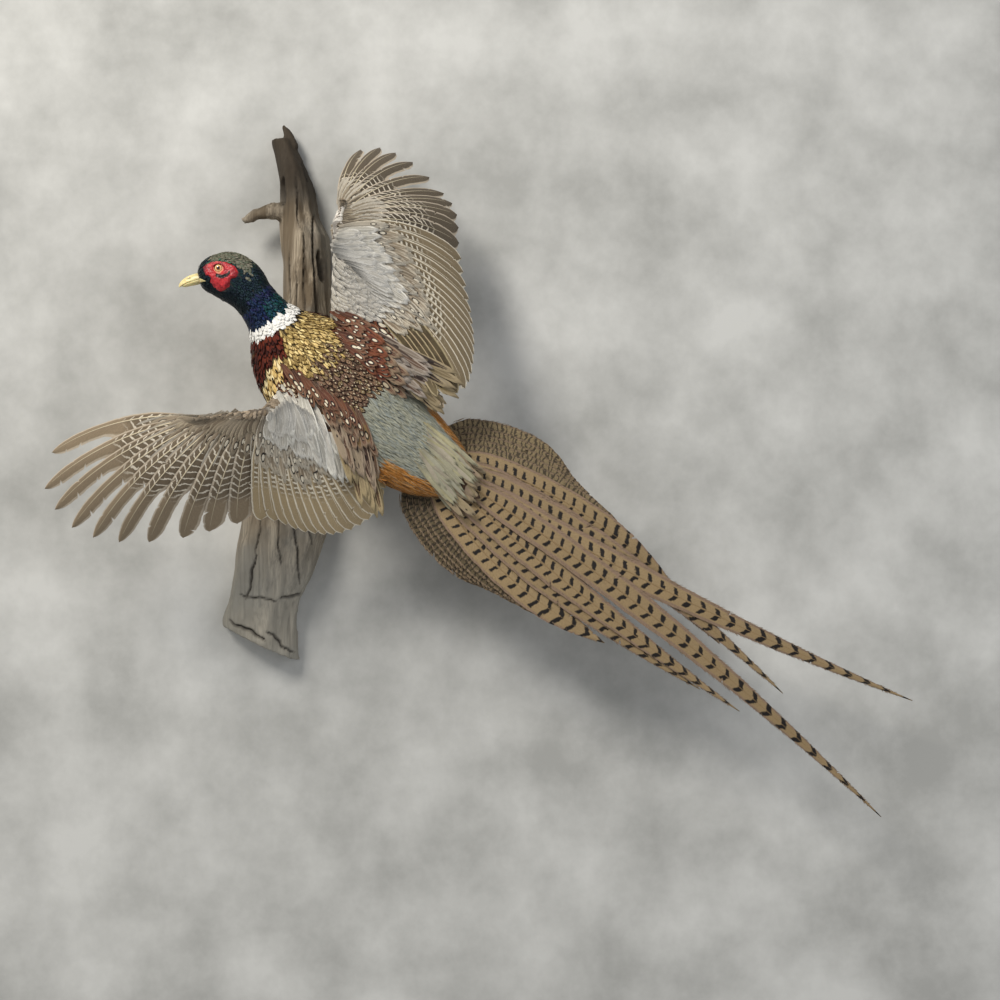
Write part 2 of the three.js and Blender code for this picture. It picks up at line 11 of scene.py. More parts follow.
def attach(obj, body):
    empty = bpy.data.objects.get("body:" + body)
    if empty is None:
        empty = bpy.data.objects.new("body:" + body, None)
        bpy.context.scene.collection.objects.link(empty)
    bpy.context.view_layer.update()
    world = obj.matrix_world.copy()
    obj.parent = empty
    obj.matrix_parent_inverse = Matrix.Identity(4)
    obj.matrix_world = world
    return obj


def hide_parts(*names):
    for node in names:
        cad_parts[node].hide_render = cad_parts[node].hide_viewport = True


# A mounted cock pheasant on driftwood. Metres, +X from head to tail, +Y into the wall, +Z up.
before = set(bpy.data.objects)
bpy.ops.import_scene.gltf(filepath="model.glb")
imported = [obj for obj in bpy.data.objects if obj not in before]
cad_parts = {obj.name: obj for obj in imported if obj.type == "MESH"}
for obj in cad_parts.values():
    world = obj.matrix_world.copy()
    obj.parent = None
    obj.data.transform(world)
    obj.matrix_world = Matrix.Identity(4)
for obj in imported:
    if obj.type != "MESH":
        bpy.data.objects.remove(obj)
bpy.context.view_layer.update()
mm = 0.001
outOfWall = np.array((0.0, -1.0, 0.0))


# Small shape tools. Arrays hold points in their last axis.
def unit(v):
    return v / np.maximum(np.linalg.norm(v, axis=-1, keepdims=True), 1e-12)


def along(a, b):
    return (a * b).sum(-1, keepdims=True)


def squareTo(v, axis):
    return unit(v - along(v, axis) * axis)


def smooth(x, low, high):
    s = np.clip((x - low) / (high - low), 0, 1)
    return s * s * (3 - 2 * s)


def mix(a, b, share):
    return a + (b - a) * share


# A Catmull-Rom curve through the points, read at shares from 0 to 1 of its stations.
def through(points, share):
    points = np.asarray(points, float)
    last = len(points) - 1
    x = np.clip(share, 0, 1) * last
    i = np.minimum(x.astype(int), last - 1)
    f = (x - i)[..., None]
    padded = np.vstack([2 * points[0] - points[1], points, 2 * points[-1] - points[-2]])
    a, b, c, d = (padded[i + k] for k in range(4))
    m, n = (c - a) / 2, (d - b) / 2
    return ((2 * b - 2 * c + m + n) * f + (3 * c - 3 * b - 2 * m - n)) * f * f + m * f + b


# An sRGB hex colour as a linear one.
def colour(code):
    values = [int(code[i : i + 2], 16) / 255 for i in (1, 3, 5)]
    linear = [v / 12.92 if v <= 0.04045 else ((v + 0.055) / 1.055) ** 2.4 for v in values]
    return (*linear, 1.0)


# Adds a node with its settings, values and links, and gives back one of its outputs.
def addNode(tree, kind, inputs=(), output=0, **settings):
    node = tree.nodes.new("ShaderNode" + kind)
    for name, value in settings.items():
        setattr(node, name, value)
    for socket, value in dict(inputs).items():
        if isinstance(value, bpy.types.NodeSocket):
            tree.links.new(value, node.inputs[socket])
        else:
            node.inputs[socket].default_value = value
    return node.outputs[output]


# Settings that many nodes share. A mixed colour runs from the one in socket 6 to the one in socket 7.
times = {"operation": "MULTIPLY"}
timesPlus = {"operation": "MULTIPLY_ADD"}
minus = {"operation": "SUBTRACT"}
eased = {"interpolation_type": "SMOOTHSTEP"}
mixed = {"output": 2, "data_type": "RGBA"}


def newMaterial(name, finish):
    material = bpy.data.materials.new(name)
    material.use_nodes = True
    shader = material.node_tree.nodes["Principled BSDF"]
    for socket, value in finish.items():
        shader.inputs[socket].default_value = value
    return material, material.node_tree, shader


# Lays colours over a first one, each by its own share, and joins them to the shader with a relief that is
# `depth` millimetres deep.
def paint(tree, shader, coloured, layers, height, depth, strength=1):
    for share, code in layers:
        coloured = addNode(tree, "Mix", {0: share, 6: coloured, 7: colour(code)}, **mixed)
    tree.links.new(coloured, shader.inputs["Base Color"])
    bump = addNode(tree, "Bump", {"Strength": strength, "Distance": depth * mm, "Height": height})
    tree.links.new(bump, shader.inputs["Normal"])
    return bump.node


def setStops(ramp, stops):
    elements = ramp.node.color_ramp.elements
    for number, (place, code) in enumerate(stops):
        stop = elements[number] if number < 2 else elements.new(place)
        stop.position, stop.color = place, colour(code)


def newObject(name, data):
    made = bpy.data.objects.new(name, data)
    bpy.context.scene.collection.objects.link(made)
    return made


def meshOf(name, bm):
    mesh = bpy.data.meshes.new(name)
    bm.to_mesh(mesh)
    bm.free()
    return mesh


def smoothMesh(name, bm):
    mesh = meshOf(name, bm)
    mesh.shade_smooth()
    return mesh


# The places or normals of a mesh's vertices.
def vertexRows(mesh, kind="co"):
    rows = np.empty(len(mesh.vertices) * 3, np.float32)
    mesh.vertices.foreach_get(kind, rows)
    return rows.reshape(-1, 3).astype(float)


# Gives each vertex a number, a vector or a colour.
def addRows(mesh, name, rows):
    rows = rows.astype(np.float32).reshape(len(mesh.vertices), -1)
    kinds = {1: ("FLOAT", "value"), 3: ("FLOAT_VECTOR", "vector"), 4: ("FLOAT_COLOR", "color")}
    kind, field = kinds[rows.shape[1]]
    mesh.attributes.new(name, kind, "POINT").data.foreach_set(field, rows.ravel())


def link(name, mesh, material, replaced=()):
    piece = newObject(name, mesh)
    mesh.materials.clear()
    mesh.materials.append(material)
    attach(piece, "root")
    if replaced:
        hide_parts(*replaced)
    return piece


# The bird's body from bill to tail base: centre, half width, depth to the back, depth to the belly, and the
# turn of the back.
bodyStations = np.array([
    (-71.5, -150, 109, 5.5, 8, 6, 88),
    (-65, -150, 110, 10.5, 15.5, 14, 88),
    (-53.7, -150, 111, 14.5, 21.5, 20, 88),
    (-41.3, -150, 109.5, 16.5, 25, 23.5, 86),
    (-28.9, -149, 101.5, 17.5, 24.5, 22, 80),
    (-17.6, -147, 88.5, 18.5, 21, 20.5, 72),
    (-7, -143, 75, 21.5, 23.5, 23, 60),
    (1.5, -138, 63, 29, 29.5, 30, 48),
    (17.8, -129, 42, 49, 43, 46, 32),
    (43.6, -123, 16, 60, 51, 51, 24),
    (76.6, -121, -12, 57, 51, 46, 20),
    (110.9, -123, -39.5, 49, 42, 38, 17),
    (140.1, -125, -60, 42, 31, 29, 14),
    (164.5, -126, -75, 31, 20, 20, 12),
    (186, -126, -90, 17, 10, 10, 10),
]) * np.array([mm] * 6 + [math.pi / 180])


def bodyFrame(share):
    share = np.asarray(share, float)
    station = through(bodyStations, share)
    way = unit(through(bodyStations, share + 0.01)[..., :3] - through(bodyStations, share - 0.01)[..., :3])
    upRight = squareTo(np.cross(outOfWall, way), way)
    out = squareTo(outOfWall + 0 * way, way)
    roll = station[..., 6:7]
    back = unit(out * np.cos(roll) + upRight * np.sin(roll))
    return station[..., :3], way, back, np.cross(way, back), station[..., 3:6]


bodyShares = np.linspace(0, 1, 281)
bodyRuler = bodyFrame(bodyShares)


# Where points lie on the body: share of its length, degrees round from the back to the bird's left, and how
# far out, where 1 is the skin.
def onBody(points):
    centre, way, back, left, size = bodyRuler
    share, turn, reach = (np.empty(len(points)) for _ in range(3))
    for start in range(0, len(points), 4000):
        block = slice(start, start + 4000)
        offset = points[block, None] - centre[None]
        ahead = (offset * way[None]).sum(-1)
        k = ((offset**2).sum(-1) + 3 * ahead**2).argmin(1)
        d = offset[np.arange(len(k)), k]
        toBack = (d * back[k]).sum(-1)
        toLeft = (d * left[k]).sum(-1) / size[k, 0]
        toBack = toBack / np.where(toBack > 0, size[k, 1], size[k, 2])
        share[block] = bodyShares[k]
        turn[block] = np.degrees(np.arctan2(toLeft, toBack))
        reach[block] = np.hypot(toLeft, toBack)
    return share, turn, reach


# A wing's joints and where some flight feathers end. Feather 0 is the outermost primary, 10 the outermost
# secondary and 25 the innermost tertial.
placedFeathers = (0, 1, 3, 5, 7, 10, 14, 18, 22, 25)
wings = {
    "left": {
        "shoulder": (14, -152, 10),
        "elbow": (50, -166, -43),
        "wrist": (-5, -203, -24),
        "handEnd": (-66, -197, -28),
        "sweep": (0.035, 0.03),
        "bow": (2.5, 5.5),
        "inward": 1,
        "tips": (
            (-213, -166, -61), (-221, -158, -96), (-196, -146, -134), (-151, -136, -148), (-90, -127, -143),
            (-16, -111, -123), (27, -106, -135), (63, -107, -136), (96, -117, -117), (107, -131, -92),
        ),
    },
    "right": {
        "shoulder": (67, -130, 64),
        "elbow": (106, -166, 98),
        "wrist": (66, -205, 150),
        "handEnd": (68, -163, 180),
        "sweep": (0.03, 0.09),
        "bow": (1, 1.5),
        "inward": -1,
        "tips": (
            (78, -42, 263), (98, -35, 265), (132, -38, 247), (164, -56, 210), (177, -70, 184),
            (179, -93, 134), (189, -109, 80), (192, -121, 38), (184, -138, 4), (158, -155, -5),
        ),
    },
}
primaries = 10
secondaries = 13
lastFeather = 25
wristAt = primaries - 0.5
elbowAt = primaries + secondaries - 1


# The wing's surface: feather u starts on the arm or hand at t = 0 and ends at its tip at t = 1.
class WingSurface:
    def __init__(self, wing):
        self.tips = np.array(wing["tips"]) * mm
        joints = np.array([wing[name] for name in ("handEnd", "wrist", "elbow", "shoulder")]) * mm
        joints[3] = mix(joints[2], joints[3], 0.4)
        self.joints = joints
        self.sweep = wing["sweep"]
        self.bow = wing["bow"]
        self.inward = wing["inward"]

    def beyond(self, curve, u):
        kept = np.clip(u, 0, lastFeather)
        end = curve(kept)
        before = curve(kept + np.where(u < 0, 0.5, -0.5))
        return end - (before - end) * 2 * np.abs(u - kept)[..., None]

    def tip(self, u):
        ends = np.linspace(0, 1, len(placedFeathers))
        return self.beyond(lambda v: through(self.tips, np.interp(v, placedFeathers, ends)), u)

    def root(self, u):
        places = (0, wristAt, elbowAt, lastFeather)
        parts = lambda v: np.stack([np.interp(v, places, self.joints[:, k]) for k in range(3)], -1)
        return self.beyond(parts, u)

    # Out of the wing's back.
    def out(self, u):
        chord = self.tip(u) - self.root(u)
        across = self.tip(u + 3) + self.root(u + 3) - self.tip(u - 3) - self.root(u - 3)
        normal = unit(np.cross(chord, across))
        return np.where(along(normal, outOfWall) < 0, -normal, normal)

    def curve(self, u):
        start, end = self.root(u), self.tip(u)
        length = np.linalg.norm(end - start, axis=-1, keepdims=True)
        ahead = squareTo(self.tip(u - 1) - self.tip(u + 1), unit(end - start))
        sweep = mix(self.sweep[0], self.sweep[1], smooth(u, 4, primaries + 3))[..., None]
        middle = mix(start, end, 0.5) + ahead * 2 * sweep * length + self.out(u) * 0.1 * length
        return start, middle, end

    def point(self, u, t):
        start, middle, end = self.curve(u)
        t = np.asarray(t)[..., None]
        return start * (1 - t) ** 2 + middle * 2 * t * (1 - t) + end * t**2

    def way(self, u, t):
        start, middle, end = self.curve(u)
        t = np.asarray(t)[..., None]
        return unit((middle - start) * (1 - t) + (end - middle) * t)

    def length(self, u):
        return np.linalg.norm(self.tip(u) - self.root(u), axis=-1)

    # A point on the surface `aside` metres inward of feather u, raised by `height`.
    def beside(self, u, t, aside, height):
        u, t, aside, height = np.broadcast_arrays(u, t, aside, height)
        sideways = lambda v, s: (self.point(v + 0.25, s) - self.point(v - 0.25, s)) * 2
        ahead = squareTo(sideways(u, np.maximum(t, 0.4)), self.way(u, t))
        target = self.point(u, t) + ahead * aside[..., None]
        v, s = u.astype(float), t.astype(float)
        for _ in range(5):
            miss = target - self.point(v, s)
            dv = sideways(v, s)
            ds = (self.point(v, s + 0.02) - self.point(v, s - 0.02)) * 25
            a, b, c = (dv**2).sum(-1) + 1e-6, (dv * ds).sum(-1), (ds**2).sum(-1) + 1e-6
            e, f = (miss * dv).sum(-1), (miss * ds).sum(-1)
            v = v + (c * e - b * f) / (a * c - b * b)
            s = s + (a * f - b * e) / (a * c - b * b)
        return self.point(v, s) + self.out(np.maximum(v, 0)) * height[..., None]


surfaces = {side: WingSurface(wing) for side, wing in wings.items()}
signs = {"left": 1, "right": -1}


# Joins many thin closed vanes in one mesh, as rings of points. Each part holds N feathers of S rings of K
# points, and each vertex's place on its vane: across from -1 to 1, along from 0 to 1, and metres from the
# root. Marks are one row for each feather, or for each of its rings.
class Plumage:
    def __init__(self):
        self.parts = []

    def add(self, rings, bake, vane, rims, **marks):
        count, steps, sides = rings.shape[:3]
        shape = (count, steps, sides)
        values = {
            name: np.broadcast_to(v[:, :, None] if v.ndim > 2 else v[:, None, None], (*shape, v.shape[-1]))
            for name, v in marks.items()
        }
        rims = np.broadcast_to(np.asarray(rims), shape)
        self.parts.append((rings, bake, vane, rims, values))

    def build(self, name, material, replaced=()):
        points, corners, sizes, uvs, vanes, rims = [], [], [], [], [], []
        marks = {key: [] for key in self.parts[0][4]}
        offset = 0
        for rings, bake, vane, rim, values in self.parts:
            count, steps, sides = rings.shape[:3]
            index = offset + np.arange(count * steps * sides).reshape(count, steps, sides)
            wrapped = np.concatenate([index, index[:, :, :1]], 2)
            quads = [wrapped[:, :-1, :-1], wrapped[:, :-1, 1:], wrapped[:, 1:, 1:], wrapped[:, 1:, :-1]]
            quadUvs = [bake[:, :-1, :-1], bake[:, :-1, 1:], bake[:, 1:, 1:], bake[:, 1:, :-1]]
            corners.append(np.stack(quads, -1).reshape(-1))
            uvs.append(np.stack(quadUvs, -2).reshape(-1, 2))
            sizes.append(np.full(count * (steps - 1) * sides, 4))
            for ring, cap in ((index[:, 0, ::-1], bake[:, 0, -2::-1]), (index[:, -1], bake[:, -1, :-1])):
                corners.append(ring.reshape(-1))
                uvs.append(cap.reshape(-1, 2))
                sizes.append(np.full(count, sides))
            points.append(rings.reshape(-1, 3))
            vanes.append(np.broadcast_to(vane, rings.shape).reshape(-1, 3))
            rims.append(rim.reshape(-1))
            for key in marks:
                marks[key].append(values[key].reshape(index.size, -1))
            offset += index.size
        points, corners, sizes = (np.concatenate(x) for x in (points, corners, sizes))
        rims = np.concatenate(rims)
        mesh = bpy.data.meshes.new(name)
        mesh.vertices.add(len(points))
        mesh.vertices.foreach_set("co", points.astype(np.float32).ravel())
        mesh.loops.add(len(corners))
        mesh.loops.foreach_set("vertex_index", corners.astype(np.int32))
        mesh.polygons.add(len(sizes))
        starts = np.concatenate([[0], np.cumsum(sizes)[:-1]])
        mesh.polygons.foreach_set("loop_start", starts.astype(np.int32))
        mesh.update(calc_edges=True)
        mesh.uv_layers.new(name="OFBake").data.foreach_set("uv", np.concatenate(uvs).astype(np.float32).ravel())
        ends = np.empty(len(mesh.edges) * 2, np.int32)
        mesh.edges.foreach_get("vertices", ends)
        ends = rims[ends.reshape(-1, 2)]
        sharp = mesh.attributes.new("sharp_edge", "BOOLEAN", "EDGE")
        sharp.data.foreach_set("value", (ends[:, 0] > 0) & (ends[:, 0] == ends[:, 1]))
        for key, rows in {"vane": vanes, **marks}.items():
            addRows(mesh, key, np.concatenate(rows))
        print(name, int((sizes - 2).sum()), "triangles")
        link(name, mesh, material, replaced)


# Each point's place on its vane: across, share of the length, and metres from the root.
def vanePlaces(shape, across, share, length):
    vane = np.zeros((*shape[:3], 3))
    vane[..., 0], vane[..., 1] = across, share
    vane[..., 2] = vane[..., 1] * length
    return vane


# One closed shell for each vane. top is N x S x W x 3, under its underside without the two edges.
def shellRings(top, under):
    rings = np.concatenate([top, under[:, :, ::-1]], 2)
    rims = np.zeros(rings.shape[2], int)
    rims[0], rims[top.shape[2] - 1] = 1, 2
    return rings, rims


# Places round a shell on its patch of the unwrap: the upper side on the left half, the underside on the
# right.
def shellPatch(across, underAcross, share, origin, size):
    upper = (np.asarray(across) + 1) / 4
    lower = 1 - (np.asarray(underAcross)[::-1] + 1) / 4
    ring = np.concatenate([upper, lower, [1.0]])
    grid = np.stack(np.broadcast_arrays(ring[None, :], np.asarray(share)[:, None]), -1)
    return origin[:, None, None] + grid[None] * np.asarray(size)


# The skin is one closed surface under the feathers.
skinLook = {
    "voxel": 2 * mm,
    "sides": 48,
    "steps": 110,
    "depthAt": (0, 0.3, 0.45, 0.56, 1),  # shares of the body's length
    "depth": (0.4, 0.7, 2.0, 3.0, 2.4),  # how deep the coat is there, in millimetres
    "armDepth": 1.5 * mm,
    "fleshNodes": ("trunk", "neck", "head", "left_arm", "right_arm", "left_hand", "right_hand"),
}


# Draws a closed limb through stations: centre, right, up, half width, depth above and depth below.
def loft(bm, sides, stations):
    home = bm.verts.layers.float_vector.get("home") or bm.verts.layers.float_vector.new("home")
    ring = bmesh.ops.create_circle(bm, segments=sides, radius=1)["verts"]
    for v in ring:
        v[home] = v.co
    edges = list({e for v in ring for e in v.link_edges})
    firstEdges, faces = edges, []
    for number, (centre, right, up, half, top, bottom) in enumerate(stations):
        if number:
            made = bmesh.ops.extrude_edge_only(bm, edges=edges)["geom"]
            ring = [g for g in made if isinstance(g, bmesh.types.BMVert)]
            inRing = set(ring)
            edges = [g for g in made if isinstance(g, bmesh.types.BMEdge) and set(g.verts) <= inRing]
            faces += [g for g in made if isinstance(g, bmesh.types.BMFace)]
        centre, right, up = Vector(centre), Vector(right), Vector(up)
        for v in ring:
            x, y = v[home].x, v[home].y
            v.co = centre + right * (x * half) + up * (y * (top if y > 0 else bottom))
    for loop in (firstEdges, edges):
        faces += bmesh.ops.contextual_create(bm, geom=loop)["faces"]
    bmesh.ops.recalc_face_normals(bm, faces=faces)
    return faces


# A closed skin of even faces over whatever the bmesh holds.
def remeshed(name, bm, voxel, rounds, factor=0.5):
    carrier = newObject(name, meshOf(name, bm))
    carrier.modifiers.new("even", "REMESH").voxel_size = voxel
    soften = carrier.modifiers.new("soften", "SMOOTH")
    soften.iterations, soften.factor = rounds, factor
    graph = bpy.context.evaluated_depsgraph_get()
    mesh = bpy.data.meshes.new_from_object(carrier.evaluated_get(graph))
    bpy.data.objects.remove(carrier)
    mesh.name = name
    mesh.shade_smooth()
    return mesh


# Adds the CAD nodes' faces with their doubles merged, moved along their normals by `grow`.
def nodeShell(bm, names, grow=0.0):
    for name in names:
        one = bmesh.new()
        one.from_mesh(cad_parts[name].data)
        bmesh.ops.remove_doubles(one, verts=one.verts, dist=1e-7)
        one.normal_update()
        for v, shift in [(v, v.normal * grow) for v in one.verts]:
            v.co += shift
        grown = meshOf(name + "_shell", one)
        bm.from_mesh(grown)
        bpy.data.meshes.remove(grown)


def makeSkinMesh():
    bm = bmesh.new()
    stations = []
    for share in np.linspace(0, 1, skinLook["steps"]):
        centre, _, back, left, size = bodyFrame(share)
        depth = np.interp(share, skinLook["depthAt"], skinLook["depth"]) * mm
        half, top, bottom = size - depth
        stations.append((centre, left, back, half, top, bottom))
    loft(bm, skinLook["sides"], stations)
    nodeShell(bm, skinLook["fleshNodes"][3:], -skinLook["armDepth"])
    return remeshed("skin", bm, skinLook["voxel"], 8)


skinMesh = makeSkinMesh()
skinPoints, skinNormals = vertexRows(skinMesh), vertexRows(skinMesh, "normal")
skinMesh.calc_loop_triangles()
skinTriangles = np.array([t.vertices[:] for t in skinMesh.loop_triangles])
skinTree = BVHTree.FromPolygons(skinPoints.tolist(), skinTriangles.tolist())
print("skin", len(skinTriangles), "triangles")


# Which wing a point belongs to, and the feather and share of the wing's surface nearest to it.
def onWing(points):
    best = np.full(len(points), 1e9)
    side, feather, share = (np.zeros(len(points)) for _ in range(3))
    u, t = np.meshgrid(np.linspace(-1, 25.5, 54), np.linspace(-0.6, 0.3, 19), indexing="ij")
    u, t = u.ravel(), t.ravel()
    for name, sign in signs.items():
        grid = surfaces[name].point(u, t)
        for start in range(0, len(points), 2000):
            block = slice(start, start + 2000)
            offset = points[block, None] - grid[None]
            k = (offset**2).sum(-1).argmin(1)
            gap = np.linalg.norm(offset[np.arange(len(k)), k], axis=1)
            closer = gap < best[block]
            for values, new in ((best, gap), (side, sign), (feather, u[k]), (share, t[k])):
                values[block] = np.where(closer, new, values[block])
    return side, feather, share


# The two lobes of the bare skin round the eye: centre, half sizes and tilt.
wattleLobes = ((-48.5, 114.5, 18.5, 9.5, -8), (-48.4, 104.4, 10.2, 10.6, -8))


def inLobes(x, z, margin):
    inside = np.zeros(len(x), bool)
    for cx, cz, rx, rz, turn in wattleLobes:
        c, s = math.cos(math.radians(turn)), math.sin(math.radians(turn))
        px, pz = (x - cx) * c + (z - cz) * s, (z - cz) * c - (x - cx) * s
        inside |= (px / (rx + margin)) ** 2 + (pz / (rz + margin)) ** 2 < 1
    return inside


headVane = {"piece": "head", "spacing": 1.6, "length": 5, "half": 1.1, "lift": 0.7, "stray": 9}
neckVane = {"piece": "head", "gloss": 0.9, "spacing": 1.8, "length": 7, "half": 1.4, "lift": 1.3, "stray": 8}
# Where the scapulars end on each side: x, and z there.
leftScapularEdge = ((-10, 13, 45, 62, 80, 95, 110), (2, -3, -7, -13, -30, -52, -90))
rightScapularEdge = ((60, 72, 108, 122, 140, 152, 175), (72, 74, 72, 52, 38, 20, -15))
